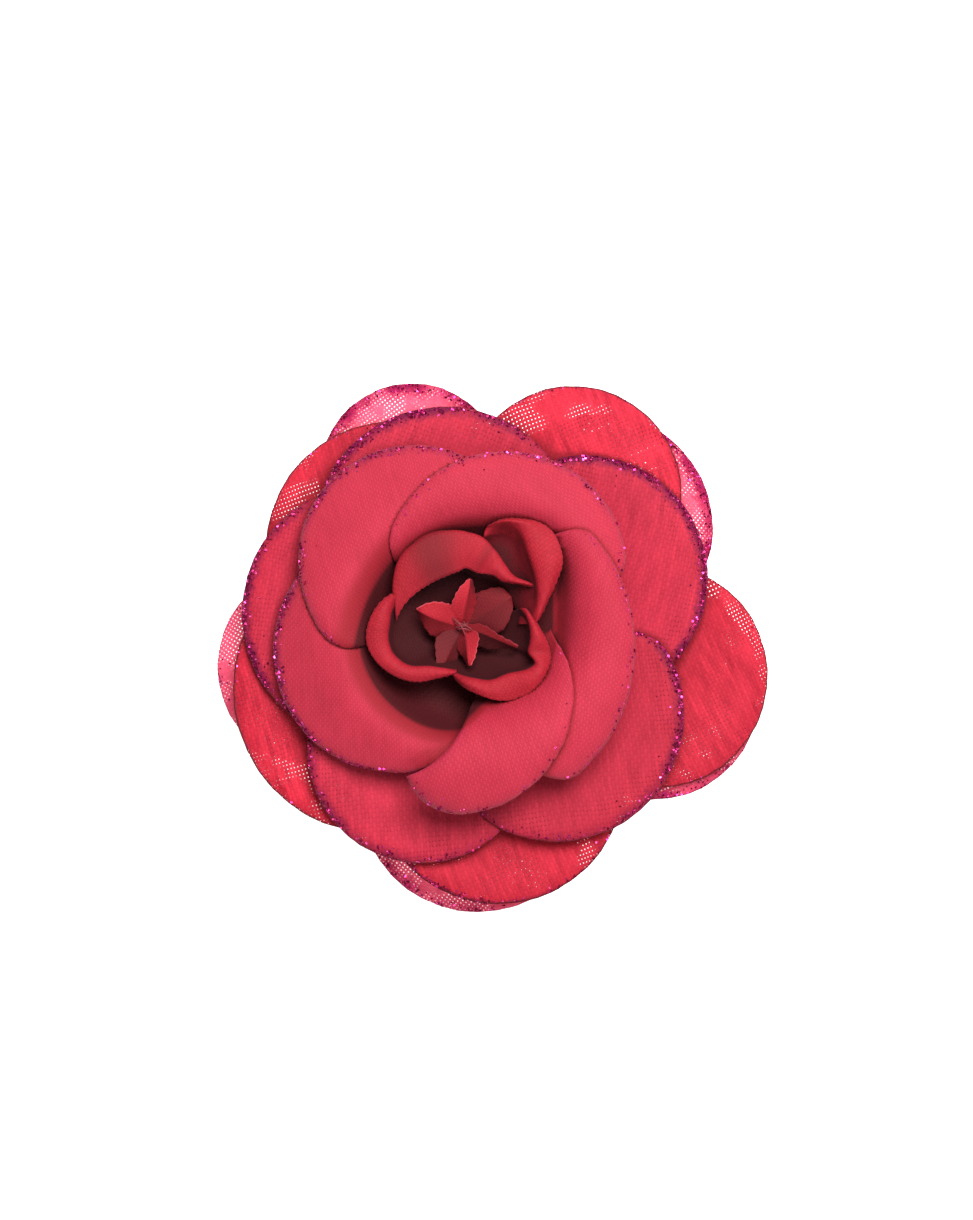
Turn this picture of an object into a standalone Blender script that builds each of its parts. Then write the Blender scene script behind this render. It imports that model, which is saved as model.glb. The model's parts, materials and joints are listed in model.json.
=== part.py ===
"""Flower hair clip: a cloth rose glued to a sprung steel alligator clip.

The rose faces +Z and the clip lies under it along X, with its tip towards -X and its finger tabs
towards +X. The origin is the middle of the lower arm's flat underside. Lengths below are in
millimetres and are turned to metres only when a mesh is made.

A petal is a round lobe drawn in plan: an arc of a circle for its rim, and straight sides that run in
to a narrow root. Each ring of petals has one bowl-shaped surface of revolution, and every petal of
the ring lies on that surface at its own level, so petals overlap in plan without ever touching.
"""
import math

import bmesh
import bpy
import numpy as np
from mathutils import Vector

MM = 0.001

# ------------------------------------------------------------------------------ driving dimensions
PETAL_THICKNESS = 0.35
LEVEL_STEP, WALL_LEVEL_STEP = 0.75, 0.88   # spacing of petals of one ring where they overlap
ROOT_LEVEL = 0.65                  # share of that spacing left at the petals' roots
LEVEL_RAMP = 3.0                   # radial distance over which it grows to the full spacing
PETAL_COLUMNS, PETAL_ROWS = 8, 6
WALL_COLUMNS, WALL_ROWS = 10, 12   # the same for a petal whose surface climbs a wall
ROOT_SPREAD = 24.0                 # half-angle of a petal's root, degrees

PIN_X, PIN_Z = 13.0, 5.2           # the clip's pivot, its axis along Y
PIN_RADIUS, PIN_HEAD_RADIUS = 1.0, 1.6
HOLE_CLEARANCE = 0.3
STEEL = 0.8
WIRE_RADIUS = 0.35
COIL_RADIUS, COIL_PITCH, COIL_TURNS = 1.95, 0.95, 3.5

FELT_RADIUS, FELT_BOTTOM, FELT_THICKNESS = 17.0, 10.9, 1.2
GLUE_PAD_SIZE = (19.0, 7.2, 0.7)
GLUE_PAD_CENTRE = (3.0, 0.0, 10.25)
CORE_RADIUS, CORE_BOTTOM, CORE_TOP = 2.8, 12.4, 20.6

PIT = (-2.6, 3.4)                  # plan centre of the rose's hollow
BUD = (-4.2, 3.0)                  # plan centre of the bud in it

# A ring: axis in plan, root radius, and its surface as (radius, height) from the root outwards.
BACK_RING = dict(axis=(0.0, 0.0), surface=(
    (13.0, 13.4), (20.0, 13.9), (28.0, 15.2), (34.0, 15.6), (40.0, 14.4)))
OUTER_RING = dict(axis=(0.0, 0.0), surface=(
    (10.0, 13.6), (14.0, 15.8), (20.0, 16.8), (28.0, 17.8), (34.0, 18.2), (39.0, 17.2)))
MIDDLE_RING = dict(axis=(-1.0, 1.5), surface=(
    (6.8, 13.7), (10.0, 16.8), (14.0, 18.9), (20.0, 19.9), (27.0, 20.7), (33.0, 20.5), (38.0, 19.4)))
INNER_RING = dict(axis=PIT, has_wall=True, surface=(
    (4.5, 17.2), (8.0, 20.8), (11.0, 23.0), (12.6, 25.0), (13.8, 26.9), (15.8, 28.1), (18.8, 28.1),
    (22.0, 27.0), (26.0, 25.0), (31.0, 23.2)))

# A petal: direction and distance of its rim circle's centre from the rose's centre, the circle's
# radius, the directions between which the rim follows the circle, and its level in the ring.
BACK_PETALS = (
    (115.5, 26.0, 12.6, 5.0, 226.0, 1), (49.0, 22.6, 15.1, -61.0, 159.0, -1),
    (-15.0, 22.3, 14.7, -125.0, 95.0, 1), (-96.5, 20.7, 15.6, -206.0, 13.0, -1),
    (185.5, 24.5, 13.4, 75.0, 296.0, 0))
OUTER_PETALS = (
    (135.0, 20.0, 16.8, 28.0, 242.0, -1), (63.0, 23.4, 14.7, -47.0, 173.0, 1),
    (-9.5, 23.0, 14.8, -120.0, 101.0, -1), (-88.0, 17.3, 17.1, -192.0, 16.0, 1),
    (199.0, 17.3, 19.1, 99.0, 299.0, 0))
MIDDLE_PETALS = (
    (114.0, 16.1, 17.9, 14.0, 214.0, 1), (38.0, 15.8, 16.4, -62.0, 138.0, -1),
    (-46.0, 12.0, 17.2, -141.0, 49.0, 1), (234.0, 16.7, 15.3, 134.0, 334.0, 0),
    (164.0, 17.7, 17.2, 64.0, 264.0, -1))
INNER_PETALS = (
    (132.0, 16.1, 15.8, 40.0, 240.0, -1), (81.0, 10.5, 16.2, -10.0, 180.0, 0),
    (173.0, 4.1, 22.5, -60.0, 62.0, 1), (209.0, 7.7, 18.1, -112.0, 28.0, 2),
    (180.0, 13.1, 17.2, 120.0, 290.0, -2))
RINGS = (("back_petal", BACK_RING, BACK_PETALS), ("outer_petal", OUTER_RING, OUTER_PETALS),
         ("middle_petal", MIDDLE_RING, MIDDLE_PETALS), ("inner_petal", INNER_RING, INNER_PETALS))

# The hollow is not round: a corner of it reaches out between two inner petals.
CORNER_DIRECTION, CORNER_WIDTH, CORNER_REACH = 46.0, 24.0, 4.2
CORNER_FULL_RADIUS, CORNER_END_RADIUS = 13.0, 21.0

# A curled petal in the hollow: middle direction, half-width, root radius, wall radius, how far its
# top edge rolls outwards (negative rolls inwards), and the height of its wall.
CURLED_PETALS = (
    (90.0, 50.0, 3.6, 10.3, -3.0, 26.2), (45.0, 19.0, 11.6, 13.6, 1.2, 27.0),
    (205.0, 42.0, 3.6, 10.2, 1.6, 26.0), (321.0, 36.0, 3.6, 9.3, 1.5, 26.2))
CURLED_ROOT_HEIGHT, CURLED_FLOOR_HEIGHT, CURLED_ROLL_RISE = 20.0, 23.8, 1.4

# A bud petal: direction, half-width in degrees, length, tip height.
BUD_PETALS = (
    (84.0, 20.0, 6.2, 26.4), (35.0, 20.0, 6.6, 25.8), (343.0, 18.0, 7.0, 25.2),
    (282.0, 20.0, 5.2, 25.4), (228.0, 22.0, 5.4, 25.2), (160.0, 26.0, 6.0, 26.2))
BUD_ROOT_RADIUS, BUD_ROOT_HEIGHT = 1.8, 22.6

CLOTH_RED, CLOTH_BRIGHT = (0.62, 0.045, 0.09), (0.68, 0.03, 0.06)


# ------------------------------------------------------------------------------------ small helpers
def clear_scene():
    """Remove every object that is already there."""
    for old in list(bpy.data.objects):
        bpy.data.objects.remove(old, do_unlink=True)


def material(name, colour, roughness, metallic=0.0):
    """Return a Principled material with one colour."""
    made = bpy.data.materials.new(name)
    made.use_nodes = True
    shader = made.node_tree.nodes["Principled BSDF"]
    shader.inputs["Base Color"].default_value = (*colour, 1.0)
    shader.inputs["Roughness"].default_value = roughness
    shader.inputs["Metallic"].default_value = metallic
    return made


def finish_object(name, mesh_data, look, location=(0.0, 0.0, 0.0), parent=None):
    """Link a mesh or curve as a named object with its material, and return it."""
    thing = bpy.data.objects.new(name, mesh_data)
    mesh_data.materials.append(look)
    bpy.context.scene.collection.objects.link(thing)
    thing.location = Vector(location) * MM
    if parent is not None:
        thing.parent = parent
        thing.location = (Vector(location) * MM) - parent.location
    return thing


def mesh_from(bm, name, smooth=True):
    """Turn a bmesh into a mesh, shaded smooth up to a sharp angle."""
    bmesh.ops.recalc_face_normals(bm, faces=bm.faces)
    data = bpy.data.meshes.new(name)
    bm.to_mesh(data)
    bm.free()
    if smooth:
        data.shade_smooth()
        data.set_sharp_from_angle(angle=math.radians(35.0))
    return data


def plan(direction, distance):
    """Return the plan point at a direction in degrees and a distance."""
    angle = math.radians(direction)
    return np.array((distance * math.cos(angle), distance * math.sin(angle)))


def smoothstep(value):
    """Ease a value between 0 and 1."""
    value = min(max(value, 0.0), 1.0)
    return value * value * (3.0 - 2.0 * value)


def smooth_curve(knots, per_span=8):
    """Return points on a Catmull-Rom curve through the knots."""
    knots = np.array(knots, dtype=float)
    padded = np.vstack((2 * knots[0] - knots[1], knots, 2 * knots[-1] - knots[-2]))
    points = []
    for before, start, end, after in zip(padded, padded[1:], padded[2:], padded[3:]):
        for step in range(per_span):
            t = step / per_span
            points.append(0.5 * (2 * start + (end - before) * t
                                 + (2 * before - 5 * start + 4 * end - after) * t ** 2
                                 + (3 * start - before - 3 * end + after) * t ** 3))
    points.append(knots[-1])
    return np.array(points)


# ------------------------------------------------------------------------------------------- petals
class Bowl:
    """A ring's surface: a smooth turned profile about an upright axis."""

    def __init__(self, axis, surface, has_wall=False):
        self.axis = np.array(axis)
        self.has_wall = has_wall
        self.columns, self.rows = (WALL_COLUMNS, WALL_ROWS) if has_wall else (PETAL_COLUMNS, PETAL_ROWS)
        self.level_step = WALL_LEVEL_STEP if has_wall else LEVEL_STEP
        self.root = surface[0][0]
        curve = smooth_curve(surface)
        self.radius, self.height = curve[:, 0], curve[:, 1]
        run, rise = np.gradient(self.radius), np.gradient(self.height)
        length = np.hypot(run, rise)
        self.lean, self.lift = -rise / length, run / length
        steps = np.hypot(np.diff(self.radius), np.diff(self.height))
        self.arc = np.concatenate(([0.0], np.cumsum(steps)))

    def point(self, spot, level):
        """Return the 3-D point over a plan spot, raised by a level along the surface's normal."""
        away = spot - self.axis
        radius = float(np.hypot(*away))
        outward = away / radius
        nominal = radius - corner(radius, away) if self.has_wall else radius
        level *= ROOT_LEVEL + (1.0 - ROOT_LEVEL) * smoothstep((nominal - self.root) / LEVEL_RAMP)
        height = np.interp(nominal, self.radius, self.height)
        lean = np.interp(nominal, self.radius, self.lean)
        lift = np.interp(nominal, self.radius, self.lift)
        ground = spot + outward * lean * level
        return Vector((ground[0], ground[1], height + lift * level)) * MM

    def row_shares(self, tip_radius):
        """Return fractions from root to tip that are evenly spaced along the surface."""
        reach = np.interp(tip_radius, self.radius, self.arc)
        radii = np.interp(np.linspace(0.0, reach, self.rows + 1), self.arc, self.radius)
        return (radii - self.root) / (radii[-1] - self.root)


def corner(radius, away):
    """Return how far the hollow's corner pushes the inner ring's surface outwards here."""
    direction = math.degrees(math.atan2(away[1], away[0]))
    turn = (direction - CORNER_DIRECTION + 180.0) % 360.0 - 180.0
    bulge = math.exp(-(turn / CORNER_WIDTH) ** 2)
    fade = 1.0 - smoothstep((radius - CORNER_FULL_RADIUS) / (CORNER_END_RADIUS - CORNER_FULL_RADIUS))
    return CORNER_REACH * bulge * fade * smoothstep(radius / CORNER_FULL_RADIUS)


def sheet_object(name, columns, rows, place, look, parent):
    """Make one thin closed petal from a grid whose points are set by place(u, v)."""
    bm = bmesh.new()
    bmesh.ops.create_grid(bm, x_segments=columns, y_segments=rows, size=1.0)
    for vert in bm.verts:
        vert.co = place(vert.co.x, (vert.co.y + 1.0) / 2.0)
    petal = finish_object(name, mesh_from(bm, name), look, parent=parent)
    petal.data.transform(parent.matrix_basis.inverted())
    petal.location = (0.0, 0.0, 0.0)
    wall = petal.modifiers.new("Thickness", "SOLIDIFY")
    wall.thickness = PETAL_THICKNESS * MM
    wall.offset = 0.0
    return petal


def ring_petal(name, bowl, shape, look, parent):
    """Make a lobed petal of one ring."""
    direction, distance, radius, start, end, level = shape
    centre = plan(direction, distance)
    middle = centre + plan((start + end) / 2.0, radius) - bowl.axis
    facing = math.degrees(math.atan2(middle[1], middle[0]))
    shares = bowl.row_shares(float(np.hypot(*middle)))

    def place(across, along):
        rim = centre + plan((start + end) / 2.0 + across * (end - start) / 2.0, radius)
        root = bowl.axis + plan(facing + across * ROOT_SPREAD, bowl.root)
        share = shares[round(along * bowl.rows)]
        return bowl.point(root + (rim - root) * share, level * bowl.level_step)

    return sheet_object(name, bowl.columns, bowl.rows, place, look, parent)


def curled_petal(name, shape, look, parent):
    """Make a petal that stands up in the hollow and rolls over at its top edge."""
    direction, half_width, root, wall, roll, height = shape
    hub = np.array(BUD)
    floor = max(0.72 * wall, root + 0.4)
    profile = smooth_curve((
        (root, CURLED_ROOT_HEIGHT if root < floor - 1.0 else CURLED_FLOOR_HEIGHT),
        (floor, CURLED_FLOOR_HEIGHT), (wall, height - 1.6), (wall + 0.15 * roll, height),
        (wall + 0.55 * roll, height + CURLED_ROLL_RISE), (wall + roll, height + 0.8 * CURLED_ROLL_RISE)))
    steps = np.concatenate(([0.0], np.cumsum(np.hypot(*np.diff(profile, axis=0).T))))

    def place(across, along):
        # The sides stop short of the top, so that the free edge is round.
        reach = steps[-1] * along * (1.0 - 0.22 * abs(across) ** 3)
        radius = np.interp(reach, steps, profile[:, 0])
        rise = np.interp(reach, steps, profile[:, 1])
        fan = 0.45 + 0.55 * smoothstep(along * 1.6)
        spot = hub + plan(direction + across * half_width * fan, radius)
        return Vector((spot[0], spot[1], rise)) * MM

    return sheet_object(name, PETAL_COLUMNS, PETAL_ROWS + 1, place, look, parent)


def bud_petal(name, shape, look, parent):
    """Make one small pointed leaf of the bud."""
    direction, half_width, length, top = shape
    hub = np.array(BUD)

    def place(across, along):
        radius = BUD_ROOT_RADIUS + (length - BUD_ROOT_RADIUS) * along
        taper = 1.0 - 0.75 * max(along - 0.45, 0.0) / 0.55
        spot = hub + plan(direction + across * half_width * taper, radius)
        rise = BUD_ROOT_HEIGHT + (top - BUD_ROOT_HEIGHT) * math.sin(along * math.pi / 2.0)
        return Vector((spot[0], spot[1], rise + 0.5 * along * (1.0 - across ** 2))) * MM

    return sheet_object(name, 4, 4, place, look, parent)


def build_rose(parent):
    """Make every petal of the rose."""
    red = material("red_cloth", CLOTH_RED, 0.75)
    bright = material("bright_red_cloth", CLOTH_BRIGHT, 0.7)
    for ring_name, ring, shapes in RINGS:
        bowl = Bowl(**ring)
        for number, shape in enumerate(shapes, start=1):
            ring_petal(f"{ring_name}_{number}", bowl, shape, red, parent)
    for number, shape in enumerate(CURLED_PETALS, start=1):
        curled_petal(f"curled_petal_{number}", shape, bright, parent)
    for number, shape in enumerate(BUD_PETALS, start=1):
        bud_petal(f"bud_petal_{number}", shape, bright, parent)


# ------------------------------------------------------------------------------- backing and glue
def turned_solid(name, profile, look, centre, parent, segments=28):
    """Make a closed solid of revolution from a profile of (radius, height) about an upright axis."""
    bm = bmesh.new()
    verts = [bm.verts.new((radius * MM, 0.0, height * MM)) for radius, height in profile]
    edges = [bm.edges.new(pair) for pair in zip(verts, verts[1:])]
    bmesh.ops.spin(bm, geom=verts + edges, cent=(0, 0, 0), axis=(0, 0, 1), angle=math.tau,
                   steps=segments, use_merge=True)
    bmesh.ops.remove_doubles(bm, verts=bm.verts, dist=1e-6)
    return finish_object(name, mesh_from(bm, name), look, (*centre, 0.0), parent)


def build_backing(parent):
    """Make the felt disc, the glue under it and in the rose, and the centre stitch."""
    felt = material("red_felt", (0.45, 0.02, 0.04), 0.95)
    glue = material("hot_melt_glue", (0.75, 0.68, 0.5), 0.35)
    thread = material("sewing_thread", (0.5, 0.02, 0.04), 0.6)
    top = FELT_BOTTOM + FELT_THICKNESS
    turned_solid("felt_backing", ((0, FELT_BOTTOM), (FELT_RADIUS - 0.3, FELT_BOTTOM),
                                  (FELT_RADIUS, FELT_BOTTOM + 0.4), (FELT_RADIUS - 0.2, top), (0, top)),
                 felt, (0.0, 0.0), parent, segments=40)
    turned_solid("glue_core", ((0, CORE_BOTTOM), (CORE_RADIUS + 0.6, CORE_BOTTOM),
                               (CORE_RADIUS + 0.4, CORE_BOTTOM + 0.6), (CORE_RADIUS, CORE_BOTTOM + 1.4),
                               (CORE_RADIUS - 0.4, CORE_TOP), (0, CORE_TOP)),
                 glue, (0.5 * (PIT[0] + BUD[0]), 0.5 * (PIT[1] + BUD[1])), parent, segments=20)
    turned_solid("centre_stitch", ((0, CORE_TOP + 0.4), (0.7, CORE_TOP + 0.5), (1.0, CORE_TOP + 1.4),
                                   (0.8, CORE_TOP + 2.6), (0.4, CORE_TOP + 3.0), (0, CORE_TOP + 3.1)),
                 thread, BUD, parent, segments=12)
    bm = bmesh.new()
    bmesh.ops.create_cube(bm, size=1.0)
    bmesh.ops.scale(bm, vec=Vector(GLUE_PAD_SIZE) * MM, verts=bm.verts)
    upright = [edge for edge in bm.edges if abs(edge.verts[0].co.z - edge.verts[1].co.z) > 1e-5]
    bmesh.ops.bevel(bm, geom=upright, offset=2.4 * MM, segments=4, profile=0.5, affect="EDGES",
                    material=-1)
    finish_object("glue_pad", mesh_from(bm, "glue_pad"), glue, GLUE_PAD_CENTRE, parent)


# --------------------------------------------------------------------------------------------- clip
def bent_strip(bm, stations):
    """Make a strip of sheet along X from (x, height, half width) stations, and return its rows."""
    rows = [[bm.verts.new(Vector((x, side * width, height)) * MM) for side in (-1, 0, 1)]
            for x, height, width in stations]
    for back, front in zip(rows, rows[1:]):
        for column in (0, 1):
            bm.faces.new((back[column], back[column + 1], front[column + 1], front[column]))
    return rows


def fold_edge(bm, rows, first, last, side, turn, shrink=0.0):
    """Fold a flange off one edge of the strip between two stations, and return its new points."""
    column = 0 if side < 0 else 2
    chain = [row[column] for row in rows[first:last + 1]]
    edges = [edge for edge in bm.edges if edge.verts[0] in chain and edge.verts[1] in chain]
    made = bmesh.ops.extrude_edge_only(bm, edges=edges)["geom"]
    moved = [item for item in made if isinstance(item, bmesh.types.BMVert)]
    middle = sum((vert.co.x for vert in moved)) / len(moved)
    for vert in moved:
        vert.co.z += turn * MM
        vert.co.x += (middle - vert.co.x) * shrink
    return moved


def plate(name, bm, look, parent, outward):
    """Thicken a bent sheet inwards from its outer face and drill the pivot hole through it."""
    bmesh.ops.recalc_face_normals(bm, faces=bm.faces)
    lowest_or_highest = max(bm.faces, key=lambda face: outward * face.calc_center_median().z)
    if lowest_or_highest.normal.z * outward < 0:
        bmesh.ops.reverse_faces(bm, faces=bm.faces)
    data = bpy.data.meshes.new(name)
    bm.to_mesh(data)
    bm.free()
    data.shade_smooth()
    data.set_sharp_from_angle(angle=math.radians(35.0))
    arm = finish_object(name, data, look, parent=parent)
    arm.data.transform(parent.matrix_basis.inverted())
    arm.location = (0.0, 0.0, 0.0)
    wall = arm.modifiers.new("Thickness", "SOLIDIFY")
    wall.thickness = STEEL * MM
    wall.offset = -1.0
    wall.use_even_offset = True
    drill = arm.modifiers.new("Pivot hole", "BOOLEAN")
    drill.object = pin_cutter(parent)
    return arm


def pin_cutter(parent):
    """Return the hidden cylinder that drills the pivot hole, made once."""
    if "pivot_drill" in bpy.data.objects:
        return bpy.data.objects["pivot_drill"]
    bm = bmesh.new()
    bmesh.ops.create_cone(bm, cap_ends=True, segments=20, radius1=(PIN_RADIUS + HOLE_CLEARANCE) * MM,
                          radius2=(PIN_RADIUS + HOLE_CLEARANCE) * MM, depth=16.0 * MM)
    bmesh.ops.rotate(bm, cent=(0, 0, 0), matrix=turned_to_y(), verts=bm.verts)
    cutter = finish_object("pivot_drill", mesh_from(bm, "pivot_drill"),
                           material("cutter", (0.5, 0.5, 0.5), 0.5), (PIN_X, 0.0, PIN_Z), parent)
    cutter.hide_render = True
    cutter.display_type = "WIRE"
    return cutter


def turned_to_y():
    """Return the rotation that lays an upright shape along Y."""
    return Vector((0, 0, 1)).rotation_difference(Vector((0, 1, 0))).to_matrix()


def build_lower_arm(steel, parent):
    """Make the flat lower arm, with its gripping teeth and its two ears for the pin."""
    stations = [(-27.0, 0, 2.0), (-26.2, 0, 3.4)]
    stations += [(-25.0 + step, 0, 4.0) for step in range(7)]
    stations += [(-10.0, 0, 4.3), (0.0, 0, 4.6), (9.6, 0, 4.6), (11.4, 0, 4.6), (14.6, 0, 4.6),
                 (16.4, 0, 4.6), (22.0, 0, 4.6), (23.4, 0, 3.8), (24.0, 0, 2.4)]
    bm = bmesh.new()
    rows = bent_strip(bm, stations)
    for side in (-1, 1):
        for tooth in (2, 4, 6):
            fold_edge(bm, rows, tooth, tooth + 1, side, 1.7, shrink=0.6)
        fold_edge(bm, rows, 11, 14, side, 7.4, shrink=0.3)
    return plate("lower_arm", bm, steel, parent, outward=-1)


def build_upper_arm(steel, parent):
    """Make the arched upper arm, with its finger tab and its two flanges on the pin."""
    stations = ((-26.6, 2.0, 1.6), (-25.6, 2.4, 2.4), (-20.0, 4.5, 2.9), (-14.0, 7.2, 3.4), (-9.0, 9.0, 3.4),
                (-5.0, 9.6, 3.4), (4.0, 9.6, 3.4), (9.8, 9.6, 3.4), (11.6, 9.6, 3.4), (14.4, 9.6, 3.4),
                (16.2, 9.6, 3.4), (17.6, 9.8, 4.2), (22.0, 10.8, 4.4), (23.6, 11.2, 3.6),
                (24.2, 11.3, 2.2))
    bm = bmesh.new()
    rows = bent_strip(bm, stations)
    for side in (-1, 1):
        fold_edge(bm, rows, 7, 10, side, -6.6, shrink=0.3)
    return plate("upper_arm", bm, steel, parent, outward=1)


def build_pin(steel, parent):
    """Make the headed pivot pin."""
    half = 5.6
    profile = ((0, -half), (PIN_HEAD_RADIUS - 0.3, -half), (PIN_HEAD_RADIUS, -half + 0.2),
               (PIN_HEAD_RADIUS, -half + 0.6), (PIN_RADIUS, -half + 0.65))
    mirrored = tuple((radius, -height) for radius, height in reversed(profile))
    pin = turned_solid("pivot_pin", profile + mirrored, steel, (0.0, 0.0), None, segments=16)
    pin.data.transform(turned_to_y().to_4x4())
    pin.parent = parent
    pin.location = Vector((PIN_X, 0.0, PIN_Z)) * MM - parent.location


def build_spring(steel, parent):
    """Make the torsion spring: a coil round the pin with a leg under each finger tab."""
    half_width = COIL_TURNS * COIL_PITCH / 2.0
    points = [(20.5, -half_width, 1.5), (17.0, -half_width, 2.3), (14.6, -half_width, 2.95)]
    count = int(COIL_TURNS * 12)
    for step in range(count + 1):
        angle = math.tau * COIL_TURNS * step / count
        points.append((PIN_X - COIL_RADIUS * math.sin(angle), -half_width + 2 * half_width * step / count,
                       PIN_Z - COIL_RADIUS * math.cos(angle)))
    points += [(14.6, half_width, 7.45), (17.0, half_width, 7.9), (20.5, half_width, 8.9)]
    curve = bpy.data.curves.new("torsion_spring", "CURVE")
    curve.dimensions = "3D"
    curve.bevel_depth = WIRE_RADIUS * MM
    curve.bevel_resolution = 1
    curve.use_fill_caps = True
    wire = curve.splines.new("POLY")
    wire.points.add(len(points) - 1)
    for knot, spot in zip(wire.points, points):
        knot.co = (*((Vector(spot) * MM) - parent.location), 1.0)
    finish_object("torsion_spring", curve, steel, parent.location / MM, parent)


def main():
    """Build the clip and the rose, each on its own side of the pivot."""
    clear_scene()
    fixed = bpy.data.objects.new("clip_side", None)
    swinging = bpy.data.objects.new("rose_side", None)
    for empty in (fixed, swinging):
        bpy.context.scene.collection.objects.link(empty)
        empty.location = Vector((PIN_X, 0.0, PIN_Z)) * MM
    bpy.context.view_layer.update()
    steel = material("nickel_plated_steel", (0.72, 0.71, 0.69), 0.3, 1.0)
    build_lower_arm(steel, fixed)
    build_pin(steel, fixed)
    build_spring(material("spring_steel", (0.55, 0.55, 0.56), 0.35, 1.0), fixed)
    build_upper_arm(steel, swinging)
    build_backing(swinging)
    build_rose(swinging)


main()
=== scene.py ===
"""Looks of the flower hair clip: a rose of glitter-edged sheer cloth on a sprung steel clip.

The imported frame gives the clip's metal and every place; this file gives the cloth petals, their glitter
and frayed edges, the felt, glue, thread and spring, the materials, and a white studio seen from above.
Lengths are in millimetres unless a name ends in _m, and are turned to metres when a mesh is made.
"""
import json
import logging
import math
import random
from dataclasses import dataclass, field
from enum import Enum
from typing import Callable

import bmesh
import bpy
import numpy as np
from mathutils import Matrix, Vector
from mathutils.bvhtree import BVHTree

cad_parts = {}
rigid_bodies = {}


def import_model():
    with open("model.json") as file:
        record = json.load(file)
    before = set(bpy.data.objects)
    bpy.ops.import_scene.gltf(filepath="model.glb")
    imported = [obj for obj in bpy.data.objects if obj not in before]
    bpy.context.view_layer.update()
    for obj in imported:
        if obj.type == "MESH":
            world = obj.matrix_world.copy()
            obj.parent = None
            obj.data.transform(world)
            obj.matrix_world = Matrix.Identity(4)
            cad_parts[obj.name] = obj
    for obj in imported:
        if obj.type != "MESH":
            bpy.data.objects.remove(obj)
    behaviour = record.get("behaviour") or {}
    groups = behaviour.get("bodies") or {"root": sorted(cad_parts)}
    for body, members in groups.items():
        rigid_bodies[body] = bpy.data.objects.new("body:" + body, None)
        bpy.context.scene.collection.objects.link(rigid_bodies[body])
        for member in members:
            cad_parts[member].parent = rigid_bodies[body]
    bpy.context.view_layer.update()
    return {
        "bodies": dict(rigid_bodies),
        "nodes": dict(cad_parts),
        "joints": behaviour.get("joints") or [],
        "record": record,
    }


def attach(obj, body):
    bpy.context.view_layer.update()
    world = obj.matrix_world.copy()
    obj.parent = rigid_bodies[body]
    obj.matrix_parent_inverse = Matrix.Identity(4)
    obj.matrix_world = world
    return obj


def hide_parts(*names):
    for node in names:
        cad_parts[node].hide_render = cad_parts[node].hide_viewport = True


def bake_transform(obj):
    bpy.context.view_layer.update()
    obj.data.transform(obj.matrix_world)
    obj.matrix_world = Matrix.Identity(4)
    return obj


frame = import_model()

LOG = logging.getLogger("flower_hair_clip")
MM = 0.001
PIT = (-2.6, 3.4)                   # plan centre of the rose's hollow
BUD = (-4.2, 3.0)                   # plan centre of the bud in it
CLOTH_UV = "Cloth"                  # UV map of every cloth piece, in millimetres along its threads
RIM_ATTRIBUTE = "rim_mm"            # distance of a point from its petal's cut edge, in millimetres
GLUE_ATTRIBUTE = "glitter_glue"     # how much glittered glue the cut edge has near a point, 0 to 1
FOLD_ATTRIBUTE = "fold_shade"       # painted shade of a point, mostly from the cloth that hangs over it, 0 to 1


class Body(Enum):
    """The two bodies of the clip that a piece can ride on."""

    BASE = "clip_base"
    ROSE = "rose_arm"


# ---------------------------------------------------------------------------------------- small tools
def linear(code: str) -> tuple[float, float, float, float]:
    """Turn an sRGB hex colour into linear RGBA.

    Args:
        code: the colour, such as "#D2384F".

    Returns:
        Red, green, blue and an alpha of 1.
    """
    channels = [int(code[start:start + 2], 16) / 255.0 for start in (1, 3, 5)]
    return (*(c / 12.92 if c <= 0.04045 else ((c + 0.055) / 1.055) ** 2.4 for c in channels), 1.0)


def add_node(tree: bpy.types.NodeTree, kind: str, inputs: dict | None = None, **settings) -> bpy.types.Node:
    """Add a node with its settings, socket values and links.

    Args:
        tree: the node tree that gets the node.
        kind: the node's type name.
        inputs: socket name or number to a value, or to the output socket that feeds it.
        settings: attributes of the node.

    Returns:
        The new node.
    """
    node = tree.nodes.new(kind)
    for key, value in settings.items():
        setattr(node, key, value)
    for key, value in (inputs or {}).items():
        if isinstance(value, bpy.types.NodeSocket):
            tree.links.new(value, node.inputs[key])
        else:
            node.inputs[key].default_value = value
    return node


def eased(value: float) -> float:
    """Ease a value between 0 and 1."""
    value = min(max(value, 0.0), 1.0)
    return value * value * (3.0 - 2.0 * value)


def polar(direction: float, distance: float) -> np.ndarray:
    """Return the plan point at a direction in degrees and a distance."""
    angle = math.radians(direction)
    return np.array((distance * math.cos(angle), distance * math.sin(angle)))


def smooth_curve(knots: tuple, per_span: int = 10) -> np.ndarray:
    """Run a Catmull-Rom curve through knots.

    Args:
        knots: the points that the curve passes through.
        per_span: how many points each span gets.

    Returns:
        The curve's points, one per row.
    """
    points = np.array(knots, dtype=float)
    padded = np.vstack((2 * points[0] - points[1], points, 2 * points[-1] - points[-2]))
    curve = []
    for before, start, end, after in zip(padded, padded[1:], padded[2:], padded[3:]):
        for step in range(per_span):
            t = step / per_span
            curve.append(0.5 * (2 * start + (end - before) * t
                                + (2 * before - 5 * start + 4 * end - after) * t ** 2
                                + (3 * start - before - 3 * end + after) * t ** 3))
    curve.append(points[-1])
    return np.array(curve)


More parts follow.
